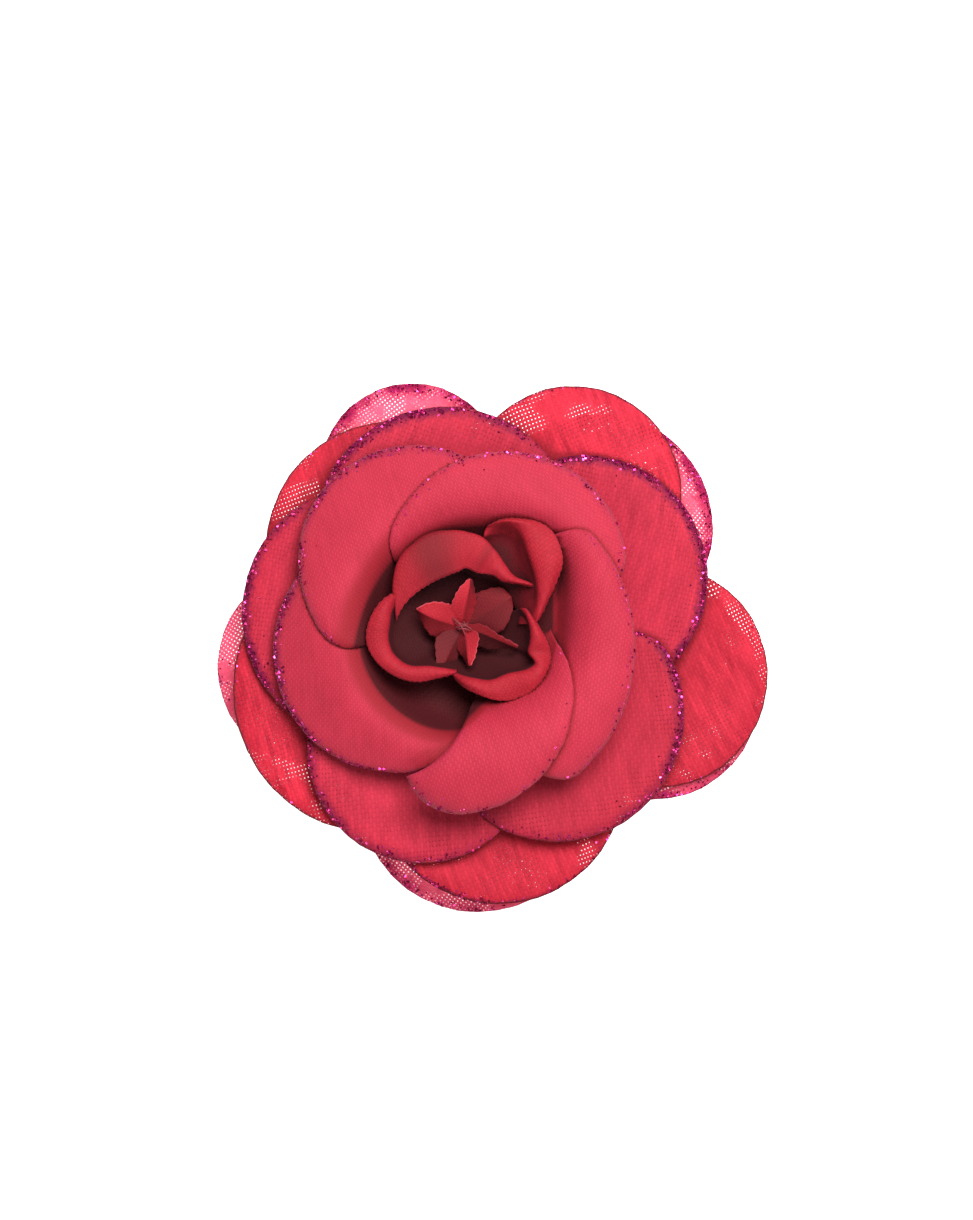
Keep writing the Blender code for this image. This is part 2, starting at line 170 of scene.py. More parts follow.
def mesh_object(name: str, bm: bmesh.types.BMesh, material: bpy.types.Material,
                sharp_angle: float = 40.0) -> bpy.types.Object:
    """Turn a bmesh into a linked object at the origin, shaded smooth up to a sharp angle."""
    mesh = bpy.data.meshes.new(name)
    bm.to_mesh(mesh)
    bm.free()
    mesh.shade_smooth()
    mesh.set_sharp_from_angle(angle=math.radians(sharp_angle))
    mesh.materials.append(material)
    thing = bpy.data.objects.new(name, mesh)
    bpy.context.scene.collection.objects.link(thing)
    return thing


# ------------------------------------------------------------------------------------------ finishes
@dataclass(frozen=True)
class SheerWeave:
    """Plain-woven sheer polyester: warp and weft threads with pinholes of light between them."""

    name: str
    lit: str = "#CC3450"            # painted light: threads lying over their neighbours; also the lighter streaks
    deep: str = "#A01C34"           # painted shade: threads dipping under; also the darker streaks
    veil: str = "#FF8FA8"           # the pale sheen that filaments give at a slant
    warp: float = 0.47              # spacing of the warp threads, mm
    weft: float = 0.62              # spacing of the weft threads, mm
    cover: float = 0.72             # share of the spacing that a thread fills
    sheer: float = 0.05             # light that passes straight through a thread, per face
    glow: float = 0.35              # light that passes through scattered
    hole: float = 1.0               # how open the pinholes are
    streak: float = 0.8             # how much one thread differs from the next
    band: float = 1.0               # width of the glued band under the glitter, mm
    glue: str = "#74103A"           # cloth under the glitter, soaked with its glue
    cut: str = "#7A2230"            # the heat-sealed cut edge
    cut_width: float = 0.16
    relief: float = 0.45            # painted shade: how far the dips between threads darken
    float_highlight: float = 0.35            # painted highlight: how much a warp thread shines where it passes over a weft thread
    open_rim: float = 100.0         # how far in from the cut edge the pinholes stay open, mm
    fold: float = 0.85              # how strong the painted shade down in the folds is
    shadow: str = "#8A1822"         # painted shade: the cloth half way down a fold
    painted_deep_shade: str = "#2E0C0F"           # painted shade: the cloth at a fold's bottom
    sheen: float = 0.05

    def build(self) -> bpy.types.Material:
        """Make the material."""
        material = bpy.data.materials.new(self.name)
        material.use_nodes = True
        tree = material.node_tree
        tree.nodes.clear()
        threads = add_node(tree, "ShaderNodeUVMap", uv_map=CLOTH_UV).outputs[0]
        waves, counts = self._threads(tree, threads)
        masks = [add_node(tree, "ShaderNodeMapRange", {
            "Value": wave, "From Min": 0.88 - self.cover, "From Max": 1.12 - self.cover},
            interpolation_type="SMOOTHSTEP").outputs[0] for wave in waves]
        present = add_node(tree, "ShaderNodeMath", {0: masks[0], 1: masks[1]}, operation="MAXIMUM")
        cell = add_node(tree, "ShaderNodeMath", {0: counts[0], 1: counts[1]}, operation="ADD")
        over = add_node(tree, "ShaderNodeMath", {0: cell.outputs[0], 1: 1.0}, operation="PINGPONG")
        height = add_node(tree, "ShaderNodeMix", {0: over.outputs[0], 2: waves[0], 3: waves[1]}).outputs[0]
        # Painted light and shade of the weave: the dips darken by relief, and the floats get a painted highlight.
        lifted = add_node(tree, "ShaderNodeMath", {0: over.outputs[0], 1: -1.0, 2: 1.0},
                          operation="MULTIPLY_ADD")
        crown = add_node(tree, "ShaderNodeMath", {0: lifted.outputs[0], 1: waves[0]}, operation="MULTIPLY")
        shine = add_node(tree, "ShaderNodeMath", {0: crown.outputs[0], 1: self.float_highlight}, operation="MULTIPLY")
        weave_light_and_shade = add_node(tree, "ShaderNodeMath", {0: height, 1: self.relief, 2: shine.outputs[0]},
                          operation="MULTIPLY_ADD").outputs[0]
        colour = self._colour(tree, threads, counts, weave_light_and_shade)
        glue = self._glue(tree, threads)
        glued = add_node(tree, "ShaderNodeMix", {0: glue, 6: colour, 7: linear(self.glue)},
                         data_type="RGBA").outputs[2]
        rim = add_node(tree, "ShaderNodeAttribute", attribute_name=RIM_ATTRIBUTE).outputs["Fac"]
        sealed = add_node(tree, "ShaderNodeMapRange", {
            "Value": rim, "From Min": 0.4 * self.cut_width, "From Max": self.cut_width,
            "To Min": 0.75, "To Max": 0.0}).outputs[0]
        edged = add_node(tree, "ShaderNodeMix", {0: sealed, 6: glued, 7: linear(self.cut)},
                         data_type="RGBA").outputs[2]
        # Painted shade in the folds: the colour is mixed towards the half-shade colour, then the deep-shade colour.
        shade = add_node(tree, "ShaderNodeAttribute", attribute_name=FOLD_ATTRIBUTE).outputs["Fac"]
        shaded = edged
        for (start, end), tint in (((0.05, 0.36), self.shadow), ((0.34, 0.72), self.painted_deep_shade)):
            dimmed = add_node(tree, "ShaderNodeMapRange", {
                "Value": shade, "From Min": start, "From Max": end, "To Min": 0.0, "To Max": self.fold},
                interpolation_type="SMOOTHSTEP").outputs[0]
            shaded = add_node(tree, "ShaderNodeMix", {0: dimmed, 6: shaded, 7: linear(tint)},
                              data_type="RGBA").outputs[2]
        bump = add_node(tree, "ShaderNodeBump", {"Height": height, "Strength": 0.5,
                                                 "Distance": 0.05 * MM}).outputs[0]
        cloth = add_node(tree, "ShaderNodeBsdfPrincipled", {
            "Base Color": shaded, "Roughness": 0.7, "Specular IOR Level": 0.2, "Sheen Weight": self.sheen,
            "Sheen Roughness": 0.4, "Sheen Tint": linear(self.veil), "Normal": bump})
        through = add_node(tree, "ShaderNodeBsdfTranslucent", {"Color": shaded, "Normal": bump})
        solid = add_node(tree, "ShaderNodeMixShader", {0: self.glow, 1: cloth.outputs[0],
                                                       2: through.outputs[0]})
        clear = add_node(tree, "ShaderNodeBsdfTransparent", {"Color": linear(self.veil)})
        passing = add_node(tree, "ShaderNodeMath", {0: glue, 1: -self.sheer, 2: self.sheer},
                           operation="MULTIPLY_ADD")
        thread = add_node(tree, "ShaderNodeMixShader", {0: passing.outputs[0], 1: solid.outputs[0],
                                                        2: clear.outputs[0]})
        filled = add_node(tree, "ShaderNodeMath", {0: present.outputs[0], 1: glue}, operation="MAXIMUM")
        closed = self._closed(tree, threads)
        opened = add_node(tree, "ShaderNodeMath", {0: filled.outputs[0], 1: closed}, operation="MAXIMUM")
        air = add_node(tree, "ShaderNodeBsdfTransparent")
        woven = add_node(tree, "ShaderNodeMixShader", {0: opened.outputs[0], 1: air.outputs[0],
                                                       2: thread.outputs[0]})
        add_node(tree, "ShaderNodeOutputMaterial", {0: woven.outputs[0]})
        return material

    def _threads(self, tree: bpy.types.NodeTree, spot: bpy.types.NodeSocket) -> tuple[list, list]:
        """Return, for warp and weft, a triangle wave across each thread and the thread's number."""
        drift = add_node(tree, "ShaderNodeTexNoise", {"Vector": spot, "Scale": 0.12, "Detail": 2.0})
        bowed = add_node(tree, "ShaderNodeVectorMath", {0: drift.outputs["Color"], "Scale": 1.2},
                         operation="SCALE")
        laid = add_node(tree, "ShaderNodeVectorMath", {0: spot, 1: bowed.outputs[0]}, operation="ADD")
        axes = add_node(tree, "ShaderNodeSeparateXYZ", {0: laid.outputs[0]})
        waves, counts = [], []
        for axis, pitch in (("X", self.warp), ("Y", self.weft)):
            place = add_node(tree, "ShaderNodeMath", {0: axes.outputs[axis], 1: pitch},
                             operation="DIVIDE").outputs[0]
            wave = add_node(tree, "ShaderNodeMath", {0: place, 1: 0.5}, operation="PINGPONG")
            waves.append(add_node(tree, "ShaderNodeMath", {0: wave.outputs[0], 1: 2.0},
                                  operation="MULTIPLY").outputs[0])
            counts.append(add_node(tree, "ShaderNodeMath", {0: place}, operation="FLOOR").outputs[0])
        return waves, counts

    def _colour(self, tree: bpy.types.NodeTree, spot: bpy.types.NodeSocket, counts: list,
                weave_light_and_shade: bpy.types.NodeSocket) -> bpy.types.NodeSocket:
        """Return the thread colour: painted shade in the dips, painted highlights on the floats, streaks along each
        warp thread.
        """
        axes = add_node(tree, "ShaderNodeSeparateXYZ", {0: spot})
        along = add_node(tree, "ShaderNodeMath", {0: axes.outputs["Y"], 1: 0.22}, operation="MULTIPLY")
        number = add_node(tree, "ShaderNodeMath", {0: counts[0], 1: 0.63}, operation="MULTIPLY")
        place = add_node(tree, "ShaderNodeCombineXYZ", {0: number.outputs[0], 1: along.outputs[0]})
        streak = add_node(tree, "ShaderNodeTexNoise", {"Vector": place.outputs[0], "Scale": 1.0,
                                                       "Detail": 2.0})
        cloud = add_node(tree, "ShaderNodeTexNoise", {"Vector": spot, "Scale": 0.16, "Detail": 3.0})
        tone = add_node(tree, "ShaderNodeMath", {0: streak.outputs["Fac"], 1: self.streak,
                                                 2: 0.05 - 0.5 * self.streak}, operation="MULTIPLY_ADD")
        toned = add_node(tree, "ShaderNodeMath", {0: cloud.outputs["Fac"], 1: 0.5, 2: tone.outputs[0]},
                         operation="MULTIPLY_ADD")
        shade = add_node(tree, "ShaderNodeMath", {0: weave_light_and_shade, 1: toned.outputs[0]}, operation="ADD",
                         use_clamp=True)
        return add_node(tree, "ShaderNodeMix", {0: shade.outputs[0], 6: linear(self.deep),
                                                7: linear(self.lit)}, data_type="RGBA").outputs[2]

    def _glue(self, tree: bpy.types.NodeTree, spot: bpy.types.NodeSocket) -> bpy.types.NodeSocket:
        """Return how much of the glitter's glue tints the cloth, ragged along the cut edge."""
        rim = add_node(tree, "ShaderNodeAttribute", attribute_name=RIM_ATTRIBUTE).outputs["Fac"]
        amount = add_node(tree, "ShaderNodeAttribute", attribute_name=GLUE_ATTRIBUTE).outputs["Fac"]
        ragged = add_node(tree, "ShaderNodeTexNoise", {"Vector": spot, "Scale": 1.3, "Detail": 3.0})
        reach = add_node(tree, "ShaderNodeMath", {0: ragged.outputs["Fac"], 1: -1.2 * self.band, 2: rim},
                         operation="MULTIPLY_ADD")
        inside = add_node(tree, "ShaderNodeMapRange", {
            "Value": reach.outputs[0], "From Min": -0.25 * self.band, "From Max": 0.45 * self.band,
            "To Min": 1.0, "To Max": 0.0}).outputs[0]
        return add_node(tree, "ShaderNodeMath", {0: inside, 1: amount}, operation="MULTIPLY").outputs[0]

    def _closed(self, tree: bpy.types.NodeTree, spot: bpy.types.NodeSocket) -> bpy.types.NodeSocket:
        """Return 1 where the threads have slipped together and leave no pinholes."""
        patch = add_node(tree, "ShaderNodeTexNoise", {"Vector": spot, "Scale": 0.2, "Detail": 2.0})
        slipped = add_node(tree, "ShaderNodeMapRange", {
            "Value": patch.outputs["Fac"], "From Min": 0.44, "From Max": 0.54,
            "To Min": 1.0 - self.hole, "To Max": 1.0}).outputs[0]
        rim = add_node(tree, "ShaderNodeAttribute", attribute_name=RIM_ATTRIBUTE).outputs["Fac"]
        inner = add_node(tree, "ShaderNodeMapRange", {"Value": rim, "From Min": 0.5 * self.open_rim,
                                                      "From Max": self.open_rim}).outputs[0]
        return add_node(tree, "ShaderNodeMath", {0: slipped, 1: inner}, operation="MAXIMUM").outputs[0]


@dataclass(frozen=True)
class GlitterFilm:
    """Chopped metallised polyester film: mirror-like flakes, mostly crimson, a few hot pink."""

    name: str = "chopped_glitter_film"
    dark: str = "#6E0C38"
    mid: str = "#A81C5C"
    bright: str = "#F45CB0"
    flake: float = 0.4              # flake size, mm

    def build(self) -> bpy.types.Material:
        """Make the material."""
        material = bpy.data.materials.new(self.name)
        material.use_nodes = True
        tree = material.node_tree
        shader = tree.nodes["Principled BSDF"]
        place = add_node(tree, "ShaderNodeTexCoord")
        cells = add_node(tree, "ShaderNodeTexVoronoi", {"Vector": place.outputs["Object"],
                                                        "Scale": 1.0 / (self.flake * MM)})
        pick = add_node(tree, "ShaderNodeSeparateColor", {0: cells.outputs["Color"]})
        ramp = add_node(tree, "ShaderNodeValToRGB", {0: pick.outputs[0]})
        ramp.color_ramp.elements[0].color = linear(self.dark)
        ramp.color_ramp.elements[1].color = linear(self.bright)
        ramp.color_ramp.elements.new(0.82).color = linear(self.mid)
        tree.links.new(ramp.outputs[0], shader.inputs["Base Color"])
        shader.inputs["Metallic"].default_value = 0.85
        shader.inputs["Roughness"].default_value = 0.28
        return material


@dataclass(frozen=True)
class GrainedSolid:
    """A solid material with a mottled colour and a fine bumpy surface, on Object coordinates."""

    name: str
    light: str
    dark: str
    grain: float                    # grain width, mm
    relief: float                   # grain height, mm
    roughness: float = 0.5
    metallic: float = 0.0
    sheen: float = 0.0
    stretch: tuple = (1.0, 1.0, 1.0)
    transmission: float = 0.0

    def build(self) -> bpy.types.Material:
        """Make the material."""
        material = bpy.data.materials.new(self.name)
        material.use_nodes = True
        tree = material.node_tree
        shader = tree.nodes["Principled BSDF"]
        place = add_node(tree, "ShaderNodeTexCoord")
        mapping = add_node(tree, "ShaderNodeMapping", {0: place.outputs["Object"], 3: self.stretch})
        grain = add_node(tree, "ShaderNodeTexNoise", {"Vector": mapping.outputs[0],
                                                      "Scale": 1.0 / (self.grain * MM), "Detail": 4.0})
        blotch = add_node(tree, "ShaderNodeTexNoise", {"Vector": place.outputs["Object"],
                                                       "Scale": 0.08 / (self.grain * MM), "Detail": 2.0})
        mixed = add_node(tree, "ShaderNodeMath", {0: grain.outputs["Fac"], 1: blotch.outputs["Fac"]},
                         operation="MULTIPLY")
        spread = add_node(tree, "ShaderNodeMapRange", {"Value": mixed.outputs[0], "From Min": 0.14,
                                                       "From Max": 0.36})
        colour = add_node(tree, "ShaderNodeMix", {0: spread.outputs[0], 6: linear(self.dark),
                                                  7: linear(self.light)}, data_type="RGBA")
        rough = add_node(tree, "ShaderNodeMapRange", {
            "Value": grain.outputs["Fac"], "To Min": max(self.roughness - 0.12, 0.02),
            "To Max": min(self.roughness + 0.12, 1.0)})
        bump = add_node(tree, "ShaderNodeBump", {"Height": grain.outputs["Fac"], "Strength": 0.8,
                                                 "Distance": self.relief * MM})
        tree.links.new(colour.outputs[2], shader.inputs["Base Color"])
        tree.links.new(rough.outputs[0], shader.inputs["Roughness"])
        tree.links.new(bump.outputs[0], shader.inputs["Normal"])
        shader.inputs["Metallic"].default_value = self.metallic
        shader.inputs["Sheen Weight"].default_value = self.sheen
        shader.inputs["Transmission Weight"].default_value = self.transmission
        return material


@dataclass(frozen=True)
class BacklitPaper:
    """White paper over a light box, so that the ground under the rose is evenly white."""

    name: str = "backlit_paper"
    glow: float = 0.95

    def build(self) -> bpy.types.Material:
        """Make the material."""
        material = bpy.data.materials.new(self.name)
        material.use_nodes = True
        shader = material.node_tree.nodes["Principled BSDF"]
        shader.inputs["Base Color"].default_value = linear("#F4F4F4")
        shader.inputs["Roughness"].default_value = 0.9
        shader.inputs["Emission Color"].default_value = linear("#FFFFFF")
        shader.inputs["Emission Strength"].default_value = self.glow
        return material


@dataclass
class Finishes:
    """Every material of the clip, made once."""

    back: bpy.types.Material = field(init=False)
    outer: bpy.types.Material = field(init=False)
    middle: bpy.types.Material = field(init=False)
    inner: bpy.types.Material = field(init=False)
    curled: bpy.types.Material = field(init=False)
    bud: bpy.types.Material = field(init=False)
    glitter: bpy.types.Material = field(init=False)
    fray: bpy.types.Material = field(init=False)
    felt: bpy.types.Material = field(init=False)
    glue: bpy.types.Material = field(init=False)
    shade_dark_glue: bpy.types.Material = field(init=False)
    thread: bpy.types.Material = field(init=False)
    nickel: bpy.types.Material = field(init=False)
    spring: bpy.types.Material = field(init=False)

    def __post_init__(self) -> None:
        """Make the materials."""
        # One layer of open organza: pale pink, with the light ground showing between its threads.
        self.back = SheerWeave("sheer_polyester_single", lit="#EA6A88", deep="#CC4264", sheer=0.42,
                               veil="#FFB4C6", cut="#8A1C38", glow=0.5, cover=0.65, weft=0.52, band=2.4, glue="#B01C58",
                               relief=0.2, fold=0.6).build()
        # The same organza in two layers: vivid red, streaked thread by thread, with pinholes at the rim.
        self.outer = SheerWeave("sheer_polyester_outer", lit="#EC3A52", deep="#AA1A30", sheer=0.03,
                                glow=0.42, cover=0.72, band=0.6, streak=1.3, relief=0.15, float_highlight=0.15,
                                open_rim=9.0, fold=0.7, shadow="#8E1422", weft=0.56,
                                cut="#4E1018", cut_width=0.3).build()
        # Closer and duller: the pinholes are nearly shut, and the glue has soaked into the rim.
        self.middle = SheerWeave("sheer_polyester_middle", lit="#D6344C", deep="#9E1A30", sheer=0.01,
                                 glow=0.32, cover=0.82, hole=0.8, streak=0.9, relief=0.15, float_highlight=0.18,
                                 open_rim=4.5, band=1.6, fold=0.7, shadow="#8A1624").build()
        # Close plain weave: a rosy red with a fine grain of painted highlights on the floats.
        self.inner = SheerWeave("fine_polyester_inner", lit="#C43249", deep="#921A2C", sheer=0.0,
                                glow=0.2, cover=0.9, hole=0.0, streak=0.4, warp=0.34, weft=0.4, relief=0.2,
                                float_highlight=0.26, cut="#A02C44", cut_width=0.05, band=1.2).build()
        # The same weave in a warmer, darker red; the darkness is partly painted shade of the hollow it stands in.
        self.curled = SheerWeave("fine_polyester_curled", lit="#AC1E2E", deep="#7C0E1A", sheer=0.0,
                                 glow=0.12, cover=0.9, hole=0.0, streak=0.5, warp=0.34, weft=0.4,
                                 relief=0.2, float_highlight=0.2, cut="#B03442", cut_width=0.1,
                                 shadow="#560C14", sheen=0.03).build()
        # Snippets of it, in a lighter red, with painted shade where they crowd together.
        self.bud = SheerWeave("fine_polyester_bud", lit="#C82E3E", deep="#92161F", sheer=0.0, glow=0.12,
                              cover=0.9, hole=0.0, streak=0.5, warp=0.34, weft=0.4, relief=0.2,
                              float_highlight=0.15, cut="#C04A56", cut_width=0.10, shadow="#6A1018",
                              sheen=0.03).build()
        self.glitter = GlitterFilm().build()
        # Polyester yarn ends: bright, fuzzy red.
        self.fray = GrainedSolid("frayed_polyester_yarn", "#B83A48", "#8A1A28", 0.3, 0.02, 0.7,
                                 sheen=0.1).build()
        # Needled wool-look felt: matt, mottled, a little fuzzy.
        self.felt = GrainedSolid("needled_red_felt", "#C21B33", "#7E0D1E", 0.35, 0.25, 0.95,
                                 sheen=0.6).build()
        # Hot-melt glue: cloudy, waxy, faintly glossy.
        self.glue = GrainedSolid("set_hot_melt_glue", "#E9DFC4", "#CDBE97", 2.5, 0.15, 0.3,
                                 transmission=0.25).build()
        # The same glue in a dark red, so that the core reads as shade under the rose: painted shade.
        self.shade_dark_glue = GrainedSolid("glue_painted_dark_as_shade", "#8E2636", "#5C121C", 2.5, 0.15, 0.4).build()
        # Twisted polyester sewing thread: soft gloss with a fine twist.
        self.thread = GrainedSolid("twisted_sewing_thread", "#86202E", "#4E0C16", 0.12, 0.04, 0.7,
                                   sheen=0.05).build()
        # Bright nickel plate on pressed steel: a warm mirror with faint rolling lines along the strip.
        self.nickel = GrainedSolid("nickel_plated_steel", "#D9D4CB", "#B9B3A8", 0.25, 0.004, 0.24,
                                   metallic=1.0, stretch=(0.06, 1.0, 1.0)).build()
        # Drawn spring wire: darker and duller than the plate.
        self.spring = GrainedSolid("drawn_spring_wire", "#A9A9AC", "#77777B", 0.2, 0.004, 0.32,
                                   metallic=1.0).build()


# ---------------------------------------------------------------------------------------- the petals
class PetalSurface:
    """A ring's bowl: a smooth profile turned about an upright axis, with a shared slow ripple."""

    def __init__(self, axis: tuple, knots: tuple, seed: int, ripple: float, has_corner: bool,
                 level_step: float) -> None:
        """Sample the profile.

        Args:
            axis: plan place of the axis.
            knots: (radius, height) from the root outwards.
            seed: picks the ripple's phases.
            ripple: height of the ripple at the rim.
            has_corner: whether the hollow's corner pushes this surface outwards.
            level_step: spacing of two petals of the ring where they overlap.
        """
        self.axis = np.array(axis)
        self.root = knots[0][0]
        self.has_corner = has_corner
        self.level_step = level_step
        self.ripple = ripple
        draw = random.Random(seed)
        self.phases = [draw.uniform(0.0, math.tau) for _ in range(4)]
        curve = smooth_curve(knots)
        self.radius, self.height = curve[:, 0], curve[:, 1]
        run, rise = np.gradient(self.radius), np.gradient(self.height)
        length = np.hypot(run, rise)
        self.lean, self.lift = -rise / length, run / length
        steps = np.hypot(np.diff(self.radius), np.diff(self.height))
        self.arc = np.concatenate(([0.0], np.cumsum(steps)))

    def nominal(self, spot: np.ndarray) -> tuple[float, float, np.ndarray]:
        """Return a spot's profile radius, its real radius and its outward direction."""
        away = spot - self.axis
        radius = float(np.hypot(*away))
        pushed = corner_push(radius, away) if self.has_corner else 0.0
        return radius - pushed, radius, away / max(radius, 1e-6)

    def place(self, spot: np.ndarray, level: float, extra: float) -> Vector:
        """Return the point over a plan spot.

        Args:
            spot: where, in plan.
            level: the petal's level in its ring.
            extra: further height along the surface's normal.

        Returns:
            The point, in millimetres.
        """
        profile_radius, radius, outward = self.nominal(spot)
        growth = ROOT_LEVEL + (1.0 - ROOT_LEVEL) * eased((profile_radius - self.root) / LEVEL_RAMP)
        share = eased((profile_radius - self.root) / (self.radius[-1] - self.root))
        turn = math.atan2(outward[1], outward[0])
        wave = (0.6 * math.sin(5 * turn + self.phases[0]) + 0.4 * math.sin(8 * turn + self.phases[1])
                + 0.5 * math.sin(0.35 * radius + 3 * turn + self.phases[2]))
        offset = level * self.level_step * growth + extra + self.ripple * wave * share
        height = np.interp(profile_radius, self.radius, self.height)
        lean = np.interp(profile_radius, self.radius, self.lean)
        lift = np.interp(profile_radius, self.radius, self.lift)
        ground = spot + outward * lean * offset
        return Vector((ground[0], ground[1], height + lift * offset))

    def shares(self, tip_radius: float, rows: int) -> np.ndarray:
        """Return fractions from root to tip that are evenly spaced along the surface."""
        reach = np.interp(tip_radius, self.radius, self.arc)
        radii = np.interp(np.linspace(0.0, reach, rows + 1), self.arc, self.radius)
        return (radii - self.root) / (radii[-1] - self.root)

    def unrolled(self, spot: np.ndarray) -> np.ndarray:
        """Return a spot's place in the flat cloth, true to size at TRUE_RADIUS."""
        profile_radius, _, outward = self.nominal(spot)
        walked = np.interp(profile_radius, self.radius, self.arc)
        return outward * (TRUE_RADIUS + walked - np.interp(TRUE_RADIUS, self.radius, self.arc))


ROOT_LEVEL, LEVEL_RAMP, ROOT_SPREAD = 0.65, 3.0, 24.0
LEVEL_STEP = 0.75                   # spacing of two petals of a ring where they overlap, mm
TRUE_RADIUS = 22.0                  # where the petals' flat pattern is true to size, mm from the axis
CORNER_DIRECTION, CORNER_WIDTH, CORNER_REACH = 46.0, 24.0, 3.2
CORNER_FULL_RADIUS, CORNER_END_RADIUS = 13.0, 21.0


def corner_push(radius: float, away: np.ndarray) -> float:
    """Return how far the hollow's corner pushes the inner ring's surface outwards here."""
    direction = math.degrees(math.atan2(away[1], away[0]))
    turn = (direction - CORNER_DIRECTION + 180.0) % 360.0 - 180.0
    fade = 1.0 - eased((radius - CORNER_FULL_RADIUS) / (CORNER_END_RADIUS - CORNER_FULL_RADIUS))
    return CORNER_REACH * math.exp(-(turn / CORNER_WIDTH) ** 2) * fade * eased(radius / CORNER_FULL_RADIUS)


def cloth_object(name: str, columns: int, rows: int, finish: bpy.types.Material, thickness: float,
                 describe: Callable[[float, float], tuple]) -> tuple[bpy.types.Object, float]:
    """Make a sheet of cloth from a grid.

    Args:
        name: the new object's name.
        columns: faces across the sheet.
        rows: faces along it.
        finish: its material.
        thickness: of the cloth, in millimetres.
        describe: gives, for a place across (-1 to 1) and along (0 to 1), the point, the flat place in
            millimetres along the threads, the distance from the cut edge, the amount of glitter glue and
            how deep in shade the place lies.

    Returns:
        The sheet and the area of one side, in square metres.
    """
    bm = bmesh.new()
    threads = bm.loops.layers.uv.new(CLOTH_UV)
    rim_layer = bm.verts.layers.float.new(RIM_ATTRIBUTE)
    glue_layer = bm.verts.layers.float.new(GLUE_ATTRIBUTE)
    fold_layer = bm.verts.layers.float.new(FOLD_ATTRIBUTE)
    bmesh.ops.create_grid(bm, x_segments=columns, y_segments=rows, size=1.0)
    flat_places = {}
    for vert in bm.verts:
        point, flat, *values = describe(vert.co.x, (vert.co.y + 1.0) / 2.0)
        vert.co = point * MM
        vert[rim_layer], vert[glue_layer], vert[fold_layer] = values
        flat_places[vert] = flat
    for face in bm.faces:
        for loop in face.loops:
            loop[threads].uv = flat_places[loop.vert]
    area = sum(face.calc_area() for face in bm.faces)
    sheet = mesh_object(name, bm, finish, sharp_angle=60.0)
    wall = sheet.modifiers.new("Thickness", "SOLIDIFY")
    wall.thickness = thickness * MM
    wall.offset = 0.0
    return sheet, area


@dataclass
class FoldShade:
    """Painted shade in the folds: cloth that has other cloth close above it is coloured darker."""

    reach: float = 9.0              # how far away cloth still shades a point, mm
    start: float = 0.15             # how far above a point the view up from it begins, mm
    cone: float = 66.0              # half angle of that view, degrees
    rings: tuple = ((0.2, 3), (0.55, 6), (0.85, 9))      # share of the half angle, views on that ring

    def ways(self) -> list[Vector]:
        """Return the directions to look in, spread over a cone about straight up."""
        looks = []
        for share, count in self.rings:
            tilt = math.radians(self.cone * share)
            for number in range(count):
                turn = math.tau * (number + share) / count
                looks.append(Vector((math.sin(tilt) * math.cos(turn), math.sin(tilt) * math.sin(turn),
                                     math.cos(tilt))))
        return looks

    def apply(self, cloths: list[bpy.types.Object]) -> None:
        """Write the shade of every point of every cloth.

        Args:
            cloths: all sheets of the rose; each shades the others and itself.
        """
        points, faces = [], []
        for cloth in cloths:
            first = len(points)
            points.extend(vert.co.copy() for vert in cloth.data.vertices)
            faces.extend([first + corner for corner in face.vertices] for face in cloth.data.polygons)
        rose = BVHTree.FromPolygons(points, faces)
        looks, reach = self.ways(), self.reach * MM
        for cloth in cloths:
            layer = cloth.data.attributes[FOLD_ATTRIBUTE].data
            shade = []
            for vert, kept in zip(cloth.data.vertices, layer):
                above = vert.normal if vert.normal.z > 0.0 else -vert.normal
                eye = vert.co + above * self.start * MM
                blocked = 0.0
                for way in looks:
                    distance = rose.ray_cast(eye, way, reach)[3]
                    blocked += 0.0 if distance is None else 1.0 - 0.6 * distance / reach
                shade.append(max(blocked / len(looks), kept.value))
            layer.foreach_set("value", shade)
        LOG.info("folds shaded on %d sheets", len(cloths))


